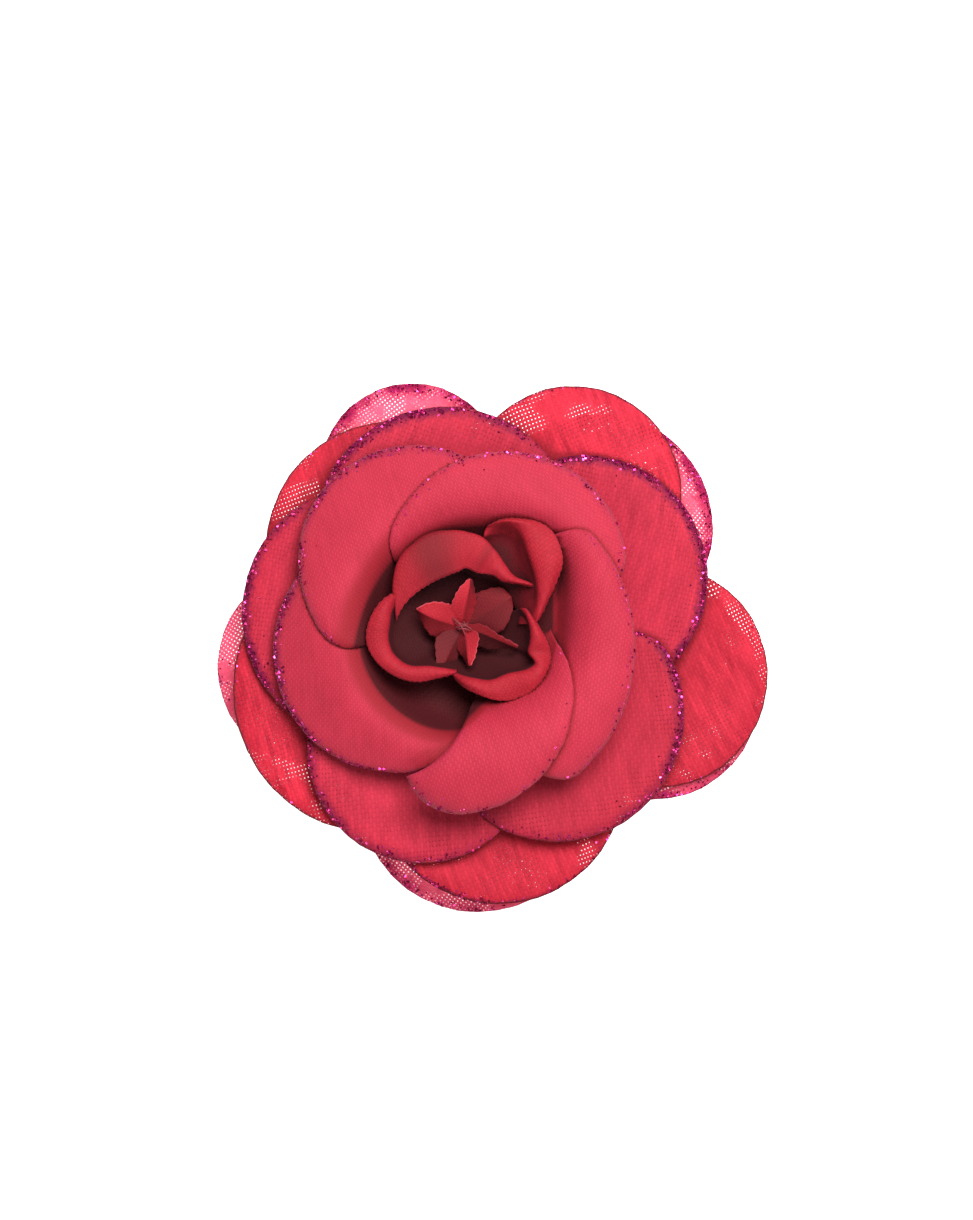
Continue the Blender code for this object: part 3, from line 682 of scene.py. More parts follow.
@dataclass
class LobedPetal:
    """A petal whose rim follows a circle in plan and whose sides run in to a narrow root."""

    node: str
    surface: PetalSurface
    direction: float                # of the rim circle's centre from the rose's centre, degrees
    distance: float                 # of that centre, mm
    radius: float                   # of the rim circle, mm
    start: float                    # where the rim starts on the circle, degrees
    end: float
    level: float
    grain: float                    # direction of the cloth's threads, degrees
    shine: float                    # glitter flakes to the millimetre where the rim has most
    focus: float                    # direction on the circle where that is, degrees
    spread: float                   # how far along the rim it stays so, degrees
    roots: tuple | None = None      # directions of the root's two ends, where the sides wrap round the hollow
    hollow: tuple = (12.9, 12.9, 12.9)      # radius where the slope down is in full shade: start to end
    slope: float = 2.4              # width of the half-shaded slope outside it, mm
    rounding: tuple = (0.16, 0.16)  # how far the rim bends in at its start and at its end
    bend: float = 0.78              # where along each half of the rim that begins
    gloom: float = 0.0              # how deep in shade the whole petal lies
    columns: int = 64
    rows: int = 44
    droop: float = 0.45             # how far the cut edge bends down, mm
    thickness: float = 0.14

    def __post_init__(self) -> None:
        """Work out the petal's facing and its rows."""
        self.centre = polar(self.direction, self.distance)
        self.draw = random.Random(self.node)
        self.wobble = [self.draw.uniform(0.0, math.tau) for _ in range(4)]
        middle = self.centre + polar((self.start + self.end) / 2.0, self.radius) - self.surface.axis
        self.facing = math.degrees(math.atan2(middle[1], middle[0]))
        self.row_shares = self.surface.shares(float(np.hypot(*middle)), self.rows)

    def circle_angle(self, across: float) -> float:
        """Return the direction on the rim circle of a place across the petal."""
        return (self.start + self.end) / 2.0 + across * (self.end - self.start) / 2.0

    def rim_point(self, across: float) -> np.ndarray:
        """Return the rim's plan point, for a place across the petal from -1 to 1."""
        rounding = self.rounding[0] if across < 0.0 else self.rounding[1]
        inward = rounding * max((abs(across) - self.bend) / (1.0 - self.bend), 0.0) ** 2
        ragged = (0.03 * math.sin(23 * across + self.wobble[0])
                  + 0.03 * math.sin(71 * across + self.wobble[1]))
        return self.centre + polar(self.circle_angle(across), self.radius * (1.0 - inward) + ragged)

    def spot(self, across: float, share: float) -> np.ndarray:
        """Return a plan spot from across (-1 to 1) and the share of the way from root to rim."""
        axis, root = self.surface.axis, self.surface.root
        if self.roots is None:
            start = axis + polar(self.facing + across * ROOT_SPREAD, root)
            return start + (self.rim_point(across) - start) * share
        rim = self.rim_point(across) - axis
        rim_way = math.degrees(math.atan2(rim[1], rim[0]))
        root_way = self.roots[0] + (self.roots[1] - self.roots[0]) * (across + 1.0) / 2.0
        turn = (root_way - rim_way + 180.0) % 360.0 - 180.0
        away = root + (float(np.hypot(*rim)) - root) * share
        return axis + polar(rim_way + turn * (1.0 - share ** SIDE_CURVE), away)

    def rim_distance(self, across: float, share: float) -> float:
        """Return how far a spot is from the cut rim, in millimetres of plan."""
        reach = float(np.hypot(*(self.spot(across, 1.0) - self.spot(across, 0.0))))
        half_rim = math.radians((self.end - self.start) / 2.0) * self.radius
        side = (1.0 - abs(across)) * half_rim * share
        return min((1.0 - share) * reach, side)

    def glitter_density(self, across: float) -> float:
        """Return the flakes to the millimetre at a place along the rim."""
        turn = (self.circle_angle(across) - self.focus + 180.0) % 360.0 - 180.0
        patch = 0.75 + 0.25 * math.sin(17 * across + self.wobble[2]) + 0.15 * math.sin(41 * across)
        return self.shine * patch * (0.18 + 0.82 * math.exp(-(turn / self.spread) ** 2))

    def point(self, across: float, share: float, lift: float = 0.0) -> Vector:
        """Return the petal's mid-surface point, in millimetres."""
        spot = self.spot(across, share)
        edge = max(1.0 - self.rim_distance(across, share) / 2.2, 0.0)
        own = 0.12 * math.sin(5 * across + self.wobble[3]) * share
        return self.surface.place(spot, self.level, lift + own - self.droop * edge ** 2)

    def hollow_shade(self, across: float, share: float) -> float:
        """Return how deep in shade a place on the slope down to the hollow lies, from 0 to 1."""
        if self.roots is None:
            return self.gloom
        profile_radius = self.surface.nominal(self.spot(across, share))[0]
        start, middle, end = self.hollow
        hollow = middle + (start - middle) * ((1.0 - across) / 2.0) ** 4
        hollow += (end - middle) * ((1.0 + across) / 2.0) ** 4
        outside = profile_radius - hollow
        return 0.42 * (1.0 - eased(outside / self.slope)) + 0.58 * (1.0 - eased(outside / 1.6 + 1.0))

    def build(self, finish: bpy.types.Material) -> bpy.types.Object:
        turned = Matrix.Rotation(math.radians(-self.grain), 2)

        def describe(across: float, along: float) -> tuple:
            """Describe one point of the petal."""
            share = float(self.row_shares[round(along * self.rows)])
            flat = turned @ Vector(self.surface.unrolled(self.spot(across, share)))
            glue = min(self.glitter_density(across) / FULL_GLITTER, 1.0)
            rim = self.rim_distance(across, share)
            return self.point(across, share), flat, rim, glue, self.hollow_shade(across, share)

        petal, area = cloth_object(f"{self.node}_cloth", self.columns, self.rows, finish, self.thickness,
                                   describe)
        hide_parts(self.node)
        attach(petal, Body.ROSE.value)
        return petal

    def glitter(self, finish: bpy.types.Material, inset: float) -> bpy.types.Object:
        """Scatter glitter flakes along the cut rim.

        Args:
            finish: the flakes' material.
            inset: how far in from the rim most flakes lie, in millimetres.

        Returns:
            The flakes, as one piece.
        """
        bm = bmesh.new()
        length = math.radians(self.end - self.start) * self.radius
        for _ in range(int(length * self.shine * CROWDING)):
            across = self.draw.uniform(-0.97, 0.97)
            if self.draw.random() * self.shine * 1.25 > self.glitter_density(across):
                continue
            reach = float(np.hypot(*(self.spot(across, 1.0) - self.spot(across, 0.0))))
            away = abs(self.draw.gauss(0.0, inset)) + 0.08
            if self.draw.random() < STRAY_FLAKES:
                away += self.draw.uniform(0.4, 3.0)
            flake_at(bm, self.draw, self.point(across, 1.0 - away / reach, self.thickness / 2.0 + 0.05))
        flakes = mesh_object(f"{self.node}_glitter", bm, finish)
        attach(flakes, Body.ROSE.value)
        return flakes


SIDE_CURVE = 1.9                    # how late a wrapping petal's side turns towards its root
FULL_GLITTER = 6.0                  # flakes to the millimetre that hide the cloth
STRAY_FLAKES = 0.02                 # share of the flakes that lie further in
CROWDING = 1.8                      # flakes tried for each one wanted


def flake_at(bm: bmesh.types.BMesh, draw: random.Random, spot: Vector) -> None:
    """Add one thin hexagonal glitter flake, tilted a little, at a point in millimetres."""
    size = draw.uniform(0.1, 0.19)
    tilt = Matrix.Rotation(draw.gauss(0.0, 0.5), 4, "X") @ Matrix.Rotation(draw.gauss(0.0, 0.5), 4, "Y")
    spin = Matrix.Rotation(draw.uniform(0.0, math.tau), 4, "Z")
    bmesh.ops.create_cone(bm, cap_ends=True, segments=6, radius1=size * MM, radius2=size * MM,
                          depth=0.03 * MM, matrix=Matrix.Translation(spot * MM) @ tilt @ spin)


@dataclass
class PetalRing:
    """One ring of lobed petals on a shared surface."""

    name: str
    axis: tuple
    knots: tuple
    petals: tuple                   # the arguments of each LobedPetal after its surface
    seed: int
    ripple: float
    inset: float                    # how wide the glittered edge is, mm
    has_wall: bool = False
    gloom: tuple = (0.0, 0.0, 0.0, 0.0, 0.0)        # how deep in shade each petal lies

    def build(self, finish: bpy.types.Material, glitter: bpy.types.Material) -> list[bpy.types.Object]:
        """Make the ring's petals and their glitter, and return the cloths."""
        surface = PetalSurface(self.axis, self.knots, self.seed, self.ripple, self.has_wall,
                               LEVEL_STEP)
        cloths = []
        for number, shape in enumerate(self.petals, start=1):
            petal = LobedPetal(f"{self.name}_{number}", surface, *shape, gloom=self.gloom[number - 1])
            cloths.append(petal.build(finish))
            petal.glitter(glitter, self.inset)
            LOG.info("%s: cloth and glitter", petal.node)
        return cloths


BACK_RING = PetalRing(
    "back_petal", (0.0, 0.0), ((13.0, 13.4), (20.0, 13.9), (28.0, 15.2), (34.0, 15.6), (40.0, 14.4)),
    ((115.5, 26.0, 12.6, 5.0, 226.0, 1, 35.0, 7.0, 100.0, 100.0),
     (49.0, 22.6, 15.1, -61.0, 159.0, -1, 50.0, 9.0, 30.0, 80.0),
     (-15.0, 22.3, 14.7, -125.0, 95.0, 1, 20.0, 7.0, -110.0, 60.0),
     (-96.5, 20.7, 15.6, -206.0, 13.0, -1, 55.0, 5.0, -130.0, 60.0),
     (185.5, 24.5, 13.4, 75.0, 296.0, 0, -30.0, 1.5, 190.0, 90.0)), seed=1, ripple=0.25, inset=0.7)
OUTER_RING = PetalRing(
    "outer_petal", (0.0, 0.0),
    ((10.0, 13.6), (14.0, 15.8), (20.0, 16.8), (28.0, 17.8), (34.0, 18.2), (39.0, 17.2)),
    ((135.0, 20.0, 16.8, 28.0, 242.0, -1, 20.0, 0.8, 60.0, 60.0),
     (63.0, 23.4, 14.7, -47.0, 173.0, 1, 22.0, 1.2, 100.0, 60.0),
     (-9.5, 23.0, 14.8, -120.0, 101.0, -1, 27.0, 0.5, -90.0, 40.0),
     (-88.0, 17.3, 17.1, -192.0, 16.0, 1, 22.0, 4.5, -120.0, 45.0),
     (199.0, 17.3, 19.1, 99.0, 299.0, 0, 15.0, 0.6, 120.0, 60.0)), seed=2, ripple=0.25, inset=0.3,
    gloom=(0.0, 0.0, 0.13, 0.17, 0.0))
MIDDLE_RING = PetalRing(
    "middle_petal", (-1.0, 1.5),
    ((6.8, 13.7), (10.0, 16.8), (14.0, 18.9), (20.0, 19.9), (27.0, 20.7), (33.0, 20.5), (38.0, 19.4)),
    ((114.0, 16.1, 17.9, 14.0, 214.0, 1, -20.0, 10.0, 115.0, 55.0),
     (38.0, 15.8, 16.4, -62.0, 138.0, -1, -12.0, 13.0, 45.0, 95.0),
     (-46.0, 12.0, 17.2, -141.0, 49.0, 1, 7.0, 11.0, 5.0, 48.0),
     (234.0, 16.7, 15.3, 134.0, 334.0, 0, 5.0, 5.0, 200.0, 80.0),
     (164.0, 17.7, 17.2, 64.0, 264.0, -1, -10.0, 9.0, 190.0, 55.0)), seed=3, ripple=0.2, inset=0.48,
    gloom=(0.0, 0.0, 0.16, 0.0, 0.0))
INNER_RING = PetalRing(
    "inner_petal", PIT,
    ((4.5, 17.2), (8.0, 20.4), (11.2, 22.2), (12.5, 23.8), (13.5, 25.6), (14.7, 27.0), (16.6, 28.0),
     (19.0, 28.2), (22.0, 27.3), (26.0, 25.2), (31.0, 23.2)),
    ((132.0, 16.1, 15.8, 40.0, 240.0, -1, 17.0, 5.0, 130.0, 60.0, (100.0, 190.0), (13.6, 13.6, 16.8),
      5.0),
     (81.0, 10.5, 16.2, -10.0, 180.0, 0, 30.0, 3.5, 70.0, 45.0, (30.0, 145.0), (11.8, 12.0, 12.6),
      4.0),
     (173.0, 4.1, 22.5, -60.0, 52.0, 1.4, -10.0, 1.2, 0.0, 60.0, (-60.0, 22.0), (11.6, 11.6, 11.2),
      1.6),
     (209.4, 7.23, 17.4, -112.0, 22.0, 3.2, 18.0, 2.0, -100.0, 35.0, (-85.0, -15.0), (14.6, 10.2, 10.2),
      1.2, (0.227, 0.054), 0.55),
     (180.0, 13.1, 17.2, 120.0, 290.0, -2, -2.0, 7.0, 180.0, 60.0, (165.0, 280.0),
      (14.6, 15.4, 12.2), 4.2)),
    seed=4, ripple=0.12, inset=0.45, has_wall=True)


class Roll(Enum):
    """Which way a curled petal's top edge rolls."""

    INWARD = "inward"
    OUTWARD = "outward"


@dataclass
class CurledPetal:
    """A petal that stands in the hollow and rolls over at its top edge.

    Its outer and inner outlines are lists of (direction in degrees, distance) from the bud's centre, one
    entry for each place across the petal, so the same entry of both lies on one line down the cloth.
    """

    node: str
    roll: Roll
    outer: tuple
    inner: tuple
    crest_height: float
    edge_height: float
    wave: tuple = (0.25, 7.0, 0.0)  # height of the rim's ruffle in mm, its turns and its phase
    wall_shade: float = 1.0         # how deep in shade the wall below the rim lies
    wall_fade: float = 1.2          # how far below the rim that takes, mm
    creases: tuple = ()             # place across, width, depth of shade and depth in mm of each crease
    foot_share: float = 0.93        # how far out the foot of the wall stands, of the wall's top
    foot_height: float = 23.8
    root_radius: float = 3.6
    root_height: float = 20.0
    columns: int = 80
    rows: int = 44
    thickness: float = 0.16

    def __post_init__(self) -> None:
        """Sample the two outlines."""
        self.draw = random.Random(self.node)
        self.phase = self.draw.uniform(0.0, math.tau)
        self.outer_line = smooth_curve(self.outer)
        self.inner_line = smooth_curve(self.inner)

    def outline(self, line: np.ndarray, share: float) -> tuple[float, float]:
        """Return (direction, distance) on one outline, at a share of its entries."""
        place = np.linspace(0.0, 1.0, len(line))
        return float(np.interp(share, place, line[:, 0])), float(np.interp(share, place, line[:, 1]))

    def section(self, across: float) -> np.ndarray:
        """Return the petal's section at one place across it, as points from root to free edge."""
        share = (across + 1.0) / 2.0
        outer, inner = self.outline(self.outer_line, share), self.outline(self.inner_line, share)
        wall, free = (outer, inner) if self.roll is Roll.INWARD else (inner, outer)
        sunk = END_SINK * abs(across) ** 6
        top, edge = polar(*wall), polar(*free)
        crest = top + 0.5 * (edge - top)
        wave = self.wave[0] * math.sin(self.wave[1] * across + self.wave[2])
        wave -= sum(sink * math.exp(-((across - place) / wide) ** 2) for place, wide, _, sink in self.creases)
        places = ((polar(wall[0], self.root_radius), self.root_height),
                  (polar(wall[0], self.foot_share * wall[1] - 0.6), self.foot_height),
                  (polar(wall[0], 0.5 * (1.0 + self.foot_share) * wall[1]), self.foot_height + 1.6),
                  (top, self.crest_height - 0.45 + 0.5 * wave - sunk),
                  (crest, self.crest_height + wave - sunk),
                  (edge, self.edge_height + wave - sunk))
        return smooth_curve(tuple((*spot, height) for spot, height in places))

    def point(self, across: float, along: float) -> tuple[Vector, float]:
        """Return the petal's mid-surface point and its distance from the free edge, in millimetres."""
        section = self.section(across)
        steps = np.concatenate(([0.0], np.cumsum(np.linalg.norm(np.diff(section, axis=0), axis=1))))
        walked = along * steps[-1]
        x, y, z = (np.interp(walked, steps, section[:, axis]) for axis in range(3))
        frayed = 0.05 * math.sin(83 * across + self.phase) * max(along - 0.97, 0.0) / 0.03
        return Vector((x + BUD[0] + frayed, y + BUD[1] - frayed, z)), float(steps[-1] - walked)

    def build(self, finish: bpy.types.Material) -> bpy.types.Object:
        span = math.radians(abs(self.outer[-1][0] - self.outer[0][0])) * MEAN_CURL_RADIUS

        def describe(across: float, along: float) -> tuple:
            """Describe one point of the petal."""
            point, left = self.point(across, along)
            band = np.hypot(*(polar(*self.outline(self.outer_line, (across + 1.0) / 2.0))
                              - polar(*self.outline(self.inner_line, (across + 1.0) / 2.0))))
            deep = self.wall_shade * eased((left - band - 0.4) / self.wall_fade)
            deep += sum(shade * math.exp(-((across - place) / wide) ** 2)
                        for place, wide, shade, _ in self.creases)
            return point, (across * span / 2.0, -left), left, 0.0, deep

        petal, area = cloth_object(f"{self.node}_cloth", self.columns, self.rows, finish, self.thickness,
                                   describe)
        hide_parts(self.node)
        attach(petal, Body.ROSE.value)
        return petal

    def fray(self, finish: bpy.types.Material, count: int) -> bpy.types.Object:
        """Let short yarn ends stand out of the free edge."""
        bm = bmesh.new()
        for _ in range(count):
            across = self.draw.uniform(-0.95, 0.95)
            edge, inside = self.point(across, 1.0)[0], self.point(across, 0.94)[0]
            yarn_end(bm, self.draw, edge, (edge - inside).normalized(), self.draw.uniform(0.08, 0.24))
        ends = mesh_object(f"{self.node}_fray", bm, finish)
        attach(ends, Body.ROSE.value)
        return ends


END_SINK = 1.6                      # how far a curled petal's two ends tuck down, mm
MEAN_CURL_RADIUS = 10.5             # of the curled petals' walls about the bud, mm


def yarn_end(bm: bmesh.types.BMesh, draw: random.Random, spot: Vector, way: Vector, length: float) -> None:
    """Add one fine tapered yarn end, leaving a point in millimetres along a direction."""
    way = (way + Vector([draw.gauss(0.0, 0.4) for _ in range(3)])).normalized()
    turn = way.to_track_quat("Z", "Y").to_matrix().to_4x4()
    middle = spot + way * length * 0.4
    bmesh.ops.create_cone(bm, cap_ends=True, segments=4, radius1=0.025 * MM, radius2=0.01 * MM,
                          depth=length * MM, matrix=Matrix.Translation(middle * MM) @ turn)


CURLED_PETALS = (
    CurledPetal("curled_petal_1", Roll.INWARD,
                outer=((162.0, 9.5), (147.0, 11.0), (133.0, 12.3), (121.0, 12.8), (110.0, 13.1), (95.0, 12.8),
                       (79.0, 12.2), (68.0, 11.1), (56.0, 10.0), (43.0, 9.7), (27.5, 11.5)),
                inner=((175.0, 8.9), (161.0, 8.4), (141.0, 7.6), (126.0, 7.2), (110.0, 7.1), (95.0, 7.4),
                       (87.0, 7.9), (75.0, 7.5), (60.0, 8.0), (46.0, 8.3), (26.0, 11.2)),
                crest_height=27.5, edge_height=26.9, wave=(0.45, 6.0, 3.4),
                creases=((-0.25, 0.38, 0.27, 0.5), (0.36, 0.09, 0.16, 0.3))),
    CurledPetal("curled_petal_2", Roll.OUTWARD,
                outer=((76.0, 13.9), (69.0, 15.4), (61.0, 16.4), (54.0, 17.2), (47.0, 17.4), (40.0, 16.8),
                       (33.0, 15.8), (26.0, 13.9), (17.0, 11.8), (3.0, 9.8)),
                inner=((77.0, 13.4), (71.0, 14.5), (65.0, 15.1), (58.0, 15.0), (49.0, 13.6), (40.0, 12.6),
                       (31.0, 11.8), (22.0, 11.0), (12.0, 10.0), (3.0, 9.4)),
                crest_height=28.2, edge_height=27.6, foot_share=0.86, root_radius=7.5, root_height=22.8,
                foot_height=24.4, wall_shade=0.6, wall_fade=6.0),
    CurledPetal("curled_petal_3", Roll.OUTWARD,
                outer=((151.0, 9.9), (162.0, 11.3), (176.0, 12.4), (188.0, 12.9), (199.0, 12.5),
                       (210.0, 11.6), (221.0, 10.5), (231.0, 9.3), (244.0, 7.5), (262.0, 6.1)),
                inner=((157.0, 9.5), (167.0, 9.8), (178.0, 9.9), (189.0, 10.2), (199.0, 10.1), (207.0, 9.6),
                       (216.0, 8.8), (229.0, 7.0), (245.0, 6.1), (262.0, 5.8)),
                crest_height=27.6, edge_height=27.1),
    CurledPetal("curled_petal_4", Roll.OUTWARD,
                outer=((257.0, 6.4), (270.0, 7.8), (284.0, 9.2), (297.0, 10.9), (309.0, 12.1), (322.0, 12.6),
                       (334.0, 12.6), (343.0, 12.2), (351.0, 11.3), (360.0, 10.2), (376.0, 8.9)),
                inner=((257.0, 6.1), (270.0, 6.5), (284.0, 7.1), (298.0, 8.1), (314.0, 8.8), (327.0, 10.4),
                       (334.0, 10.8), (339.5, 9.5), (348.0, 9.3), (360.0, 9.0), (378.0, 8.4)),
                crest_height=27.8, edge_height=27.2, wave=(0.4, 9.0, 1.0),
                creases=((0.42, 0.09, 0.14, 0.3),)),
)


@dataclass
class BudLeaf:
    """A small pointed snippet of cloth, folded along its middle, in the bud."""

    node: str
    direction: float
    length: float
    left: float                     # half width on the left of the fold, mm
    right: float                    # half width on the right of it, mm
    left_rise: float                # how far the left side stands above the fold, mm
    right_rise: float
    tip_height: float
    shades: tuple                   # how deep in shade the left and the right side lie
    blunt: float = 0.0              # 0 for a pointed tip, 1 for a round one
    base_height: float = 22.6

    def __post_init__(self) -> None:
        """Seed the leaf's ragged edge."""
        self.draw = random.Random(self.node)
        self.phase = self.draw.uniform(0.0, math.tau)

    def half_width(self, across: float, along: float) -> float:
        """Return how far a side reaches from the fold."""
        pointed = math.sin(math.pi * min(along * 0.93 + 0.07, 1.0) ** 0.8)
        rounded = math.sqrt(max(1.0 - max(along * 2.0 - 1.0, 0.0) ** 2, 0.0)) * min(0.3 + along * 1.6, 1.0)
        ragged = (0.07 * math.sin(41 * along + self.phase + 3 * across)
                  + 0.16 * math.sin(9 * along + 2 * self.phase + across))
        widest = self.left if across > 0.0 else self.right
        return widest * ((1.0 - self.blunt) * pointed + self.blunt * rounded) + ragged + 0.12

    def point(self, across: float, along: float) -> Vector:
        """Return the leaf's mid-surface point, in millimetres."""
        side = across * self.half_width(across, along)
        way, cross = polar(self.direction, 1.0), polar(self.direction + 90.0, 1.0)
        bend = 0.35 * math.sin(along * 2.6 + self.phase)
        spot = np.array(BUD) + way * (LEAF_START + (self.length - LEAF_START) * along) + cross * (side + bend * along)
        rise = self.base_height + (self.tip_height - self.base_height) * math.sin(along * math.pi / 2.0)
        folded = (self.left_rise if across > 0.0 else self.right_rise) * abs(across) ** 0.85
        return Vector((spot[0], spot[1], rise + folded * min(along * 2.5, 1.0)))

    def build(self, finish: bpy.types.Material) -> bpy.types.Object:
        """Make the leaf."""

        def describe(across: float, along: float) -> tuple:
            """Describe one point of the leaf."""
            width = self.half_width(across, along)
            left = min((1.0 - abs(across)) * width, (1.0 - along) * self.length)
            deep = (self.shades[0] if across > 0.0 else self.shades[1]) + 0.1 * (1.0 - along)
            return self.point(across, along), (across * width, along * self.length), left, 0.0, deep

        leaf, _ = cloth_object(f"{self.node}_cloth", 20, 22, finish, 0.16, describe)
        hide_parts(self.node)
        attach(leaf, Body.ROSE.value)
        return leaf


LEAF_START = 0.2                    # how far from the bud's middle its leaves begin, mm
BUD_LEAVES = (
    BudLeaf("bud_petal_1", 84.0, 6.5, 2.0, 1.5, 0.1, -2.4, 26.6, (0.0, 0.2)),
    BudLeaf("bud_petal_2", 30.0, 7.6, 2.9, 2.8, -0.5, -0.5, 24.7, (0.46, 0.5), blunt=1.0,
            base_height=22.4),
    BudLeaf("bud_petal_3", 342.0, 7.8, 0.9, 1.5, 0.4, -1.6, 25.2, (0.28, 0.62)),
    BudLeaf("bud_petal_4", 283.0, 5.2, 1.7, 1.1, 0.4, -1.6, 25.8, (0.12, 0.4)),
    BudLeaf("bud_petal_5", 240.0, 6.6, 1.4, 2.2, -1.2, 0.2, 24.4, (0.56, 0.5), blunt=0.5),
    BudLeaf("bud_petal_6", 160.0, 6.6, 2.2, 2.5, -1.9, 0.5, 26.0, (0.36, 0.1), blunt=0.2),
)


@dataclass
class CentreStitch:
    """The few turns of sewing thread that gather the bud, with their cut ends."""

    node: str = "centre_stitch"
    thread: float = 0.11            # thread radius, mm
    height: float = 23.6            # of the knot, mm
    turns: int = 5
    steps: int = 14

    def strand(self, number: int) -> list[Vector]:
        """Return one strand's path: an arch over the knot, or a loose end for the last two."""
        draw = random.Random(100 + number)
        way = draw.uniform(0.0, 180.0)
        reach = draw.uniform(0.5, 0.9) if number < self.turns else draw.uniform(1.2, 1.7)
        middle = Vector((BUD[0] + draw.uniform(-0.35, 0.35), BUD[1] + draw.uniform(-0.35, 0.35), self.height))
        path = []
        for step in range(self.steps + 1):
            share = 2.0 * step / self.steps - 1.0
            spot = polar(way + 14.0 * share, reach * share)
            rise = 0.6 * (1.0 - share * share) + 0.2 * number / self.turns
            path.append(middle + Vector((spot[0], spot[1], rise)))
        return path

    def build(self, finish: bpy.types.Material) -> bpy.types.Object:
        """Make the knot."""
        bm = bmesh.new()
        for number in range(self.turns + 2):
            thread_tube(bm, self.strand(number), self.thread)
        knot = mesh_object(f"{self.node}_thread", bm, finish)
        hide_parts(self.node)
        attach(knot, Body.ROSE.value)
        return knot


def thread_tube(bm: bmesh.types.BMesh, path: list[Vector], radius: float, sides: int = 8) -> None:
    """Sweep a round thread along a path in millimetres, with closed tapered ends."""
    grid = bmesh.ops.create_grid(bm, x_segments=sides, y_segments=len(path) - 1, size=1.0)["verts"]
    for vert in grid:
        step = round((vert.co.y + 1.0) / 2.0 * (len(path) - 1))
        angle = math.pi * (vert.co.x + 1.0)
        ahead = path[min(step + 1, len(path) - 1)] - path[max(step - 1, 0)]
        frame = ahead.to_track_quat("Z", "Y").to_matrix()
        is_end = step in (0, len(path) - 1)
        round_off = frame @ Vector((math.cos(angle), math.sin(angle), 0.0)) * (0.0 if is_end else radius)
        vert.co = (path[step] + round_off) * MM
    bmesh.ops.remove_doubles(bm, verts=grid, dist=0.001 * MM)
    bmesh.ops.recalc_face_normals(bm, faces=bm.faces)


# --------------------------------------------------------------------------------- backing and metal
@dataclass
class Backing:
    """The felt disc and the glue."""

    finishes: Finishes

    def build(self) -> None:
        """Dress the backing's pieces."""
        nodes = frame["nodes"]
        for node, finish in (("felt_backing", self.finishes.felt), ("glue_pad", self.finishes.glue),
                             ("glue_core", self.finishes.shade_dark_glue)):
            nodes[node].data.materials.clear()
            nodes[node].data.materials.append(finish)
        LOG.info("backing dressed")


@dataclass
class ClipMetal:
    """The clip's pressed arms, pin and spring."""

    finishes: Finishes

    def build(self) -> None:
        """Dress the clip's pieces."""
        nodes = frame["nodes"]
        for node, finish in (("lower_arm", self.finishes.nickel), ("upper_arm", self.finishes.nickel),
                             ("pivot_pin", self.finishes.nickel)):
            nodes[node].data.materials.clear()
            nodes[node].data.materials.append(finish)
        TorsionSpring().build(self.finishes.spring)
        LOG.info("clip dressed")


@dataclass
class TorsionSpring:
    """The wire spring round the pin: a leg on the lower arm, a close coil, a leg on the upper arm."""

    node: str = "torsion_spring"
    wire: float = 0.35              # wire radius, mm
    radius: float = 1.95            # of the coil, mm
    turns: float = 3.5
    half_width: float = 1.66        # half the coil's width along the pin, mm
    axis: tuple = (13.0, 5.2)       # x and z of the pin, mm
    leave: float = -80.0            # direction of the coil's first point from the pin, degrees
    lower_leg: tuple = ((20.5, 1.5), (17.0, 2.3), (14.6, 2.95))
    upper_leg: tuple = ((14.6, 7.45), (17.0, 7.9), (20.5, 8.9))
    steps_per_turn: int = 12

    def path(self) -> list[Vector]:
        """Return the wire's centre line, in millimetres."""
        knots = [(x, -self.half_width, z) for x, z in self.lower_leg]
        steps = round(self.turns * self.steps_per_turn)
        for step in range(steps + 1):
            spot = polar(self.leave - 360.0 * self.turns * step / steps, self.radius) + self.axis
            knots.append((spot[0], self.half_width * (2.0 * step / steps - 1.0), spot[1]))
        knots.extend((x, self.half_width, z) for x, z in self.upper_leg)
        return [Vector(place) for place in smooth_curve(tuple(knots), 4)]

    def build(self, finish: bpy.types.Material) -> bpy.types.Object:
        """Make the spring."""
        bm = bmesh.new()
        thread_tube(bm, self.path(), self.wire, sides=16)
        spring = mesh_object(f"{self.node}_wire", bm, finish)
        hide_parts(self.node)
        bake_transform(spring)
        return spring


# -------------------------------------------------------------------------------------------- studio
FLOOR_GAP_M = 0.0002                # between the clip and the floor


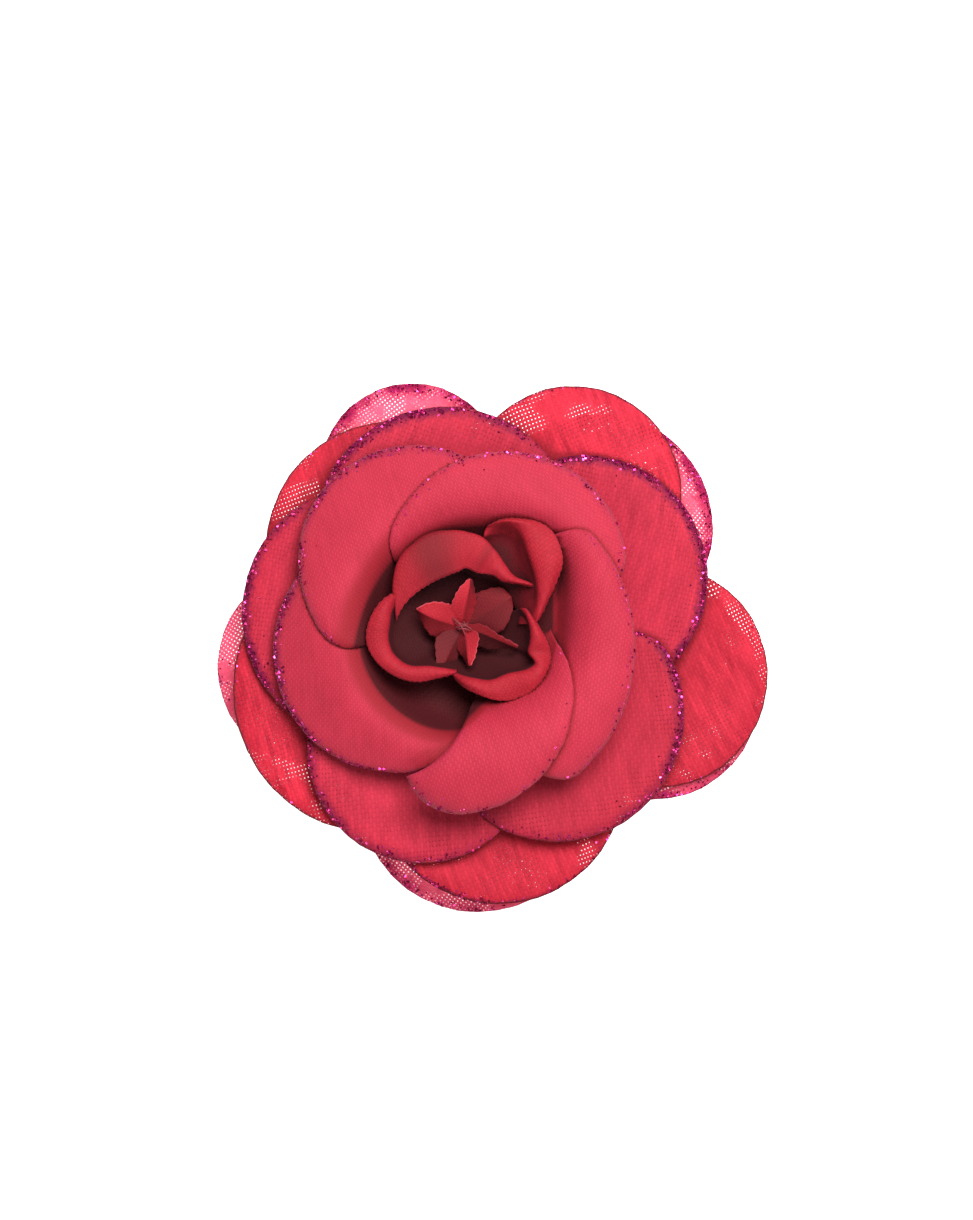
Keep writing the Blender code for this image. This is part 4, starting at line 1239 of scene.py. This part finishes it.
@dataclass
class Studio:
    """A light box, soft lamps and a camera that looks straight down on the rose."""

    view_centre: tuple = (-1.03, 5.3)
    view_height: float = 165.6      # of the picture, at the petals' height, mm
    petal_height: float = 16.5
    lens: float = 100.0
    sensor: float = 36.0

    def build(self) -> None:
        """Make the ground, lights and camera."""
        bm = bmesh.new()
        bmesh.ops.create_grid(bm, x_segments=1, y_segments=1, size=1.5,
                              matrix=Matrix.Translation((0.0, 0.0, -FLOOR_GAP_M)))
        floor = mesh_object("floor", bm, BacklitPaper().build())
        world = bpy.data.worlds.new("studio")
        world.use_nodes = True
        world.node_tree.nodes["Background"].inputs["Color"].default_value = linear("#FFFFFF")
        world.node_tree.nodes["Background"].inputs["Strength"].default_value = 0.22
        scene = bpy.context.scene
        scene.world = world
        self.lamp("key", (0.10, 0.23, 0.55), 0.30, 6.8)
        self.lamp("fill", (0.10, -0.26, 0.55), 0.5, 1.6)
        camera_data = bpy.data.cameras.new("camera")
        camera_data.lens = self.lens
        camera_data.sensor_width = self.sensor
        camera_data.sensor_fit = "VERTICAL"
        camera_data.sensor_height = self.sensor
        camera = bpy.data.objects.new("camera", camera_data)
        distance = self.view_height * self.lens / self.sensor
        camera.location = Vector((*self.view_centre, self.petal_height + distance)) * MM
        scene.collection.objects.link(camera)
        scene.camera = camera
        scene.view_settings.view_transform = "Standard"

    def lamp(self, name: str, spot_m: tuple, size_m: float, power: float) -> None:
        """Add a square soft lamp that faces the rose."""
        data = bpy.data.lights.new(name, "AREA")
        data.size = size_m
        data.energy = power
        lamp = bpy.data.objects.new(name, data)
        lamp.location = spot_m
        lamp.rotation_euler = (Vector((0, 0, 0.02)) - lamp.location).to_track_quat("-Z", "Y").to_euler()
        bpy.context.scene.collection.objects.link(lamp)


def main() -> None:
    """Build every piece in order and report it."""
    logging.basicConfig(level=logging.INFO)
    finishes = Finishes()
    cloths = []
    for ring, finish in ((BACK_RING, finishes.back), (OUTER_RING, finishes.outer),
                         (MIDDLE_RING, finishes.middle), (INNER_RING, finishes.inner)):
        cloths.extend(ring.build(finish, finishes.glitter))
    for petal in CURLED_PETALS:
        cloths.append(petal.build(finishes.curled))
        petal.fray(finishes.fray, 16)
        LOG.info("%s: cloth and frayed edge", petal.node)
    for leaf in BUD_LEAVES:
        cloths.append(leaf.build(finishes.bud))
        LOG.info("%s: cloth", leaf.node)
    FoldShade().apply(cloths)
    CentreStitch().build(finishes.thread)
    Backing(finishes).build()
    ClipMetal(finishes).build()
    Studio().build()


if __name__ == "__main__":
    main()
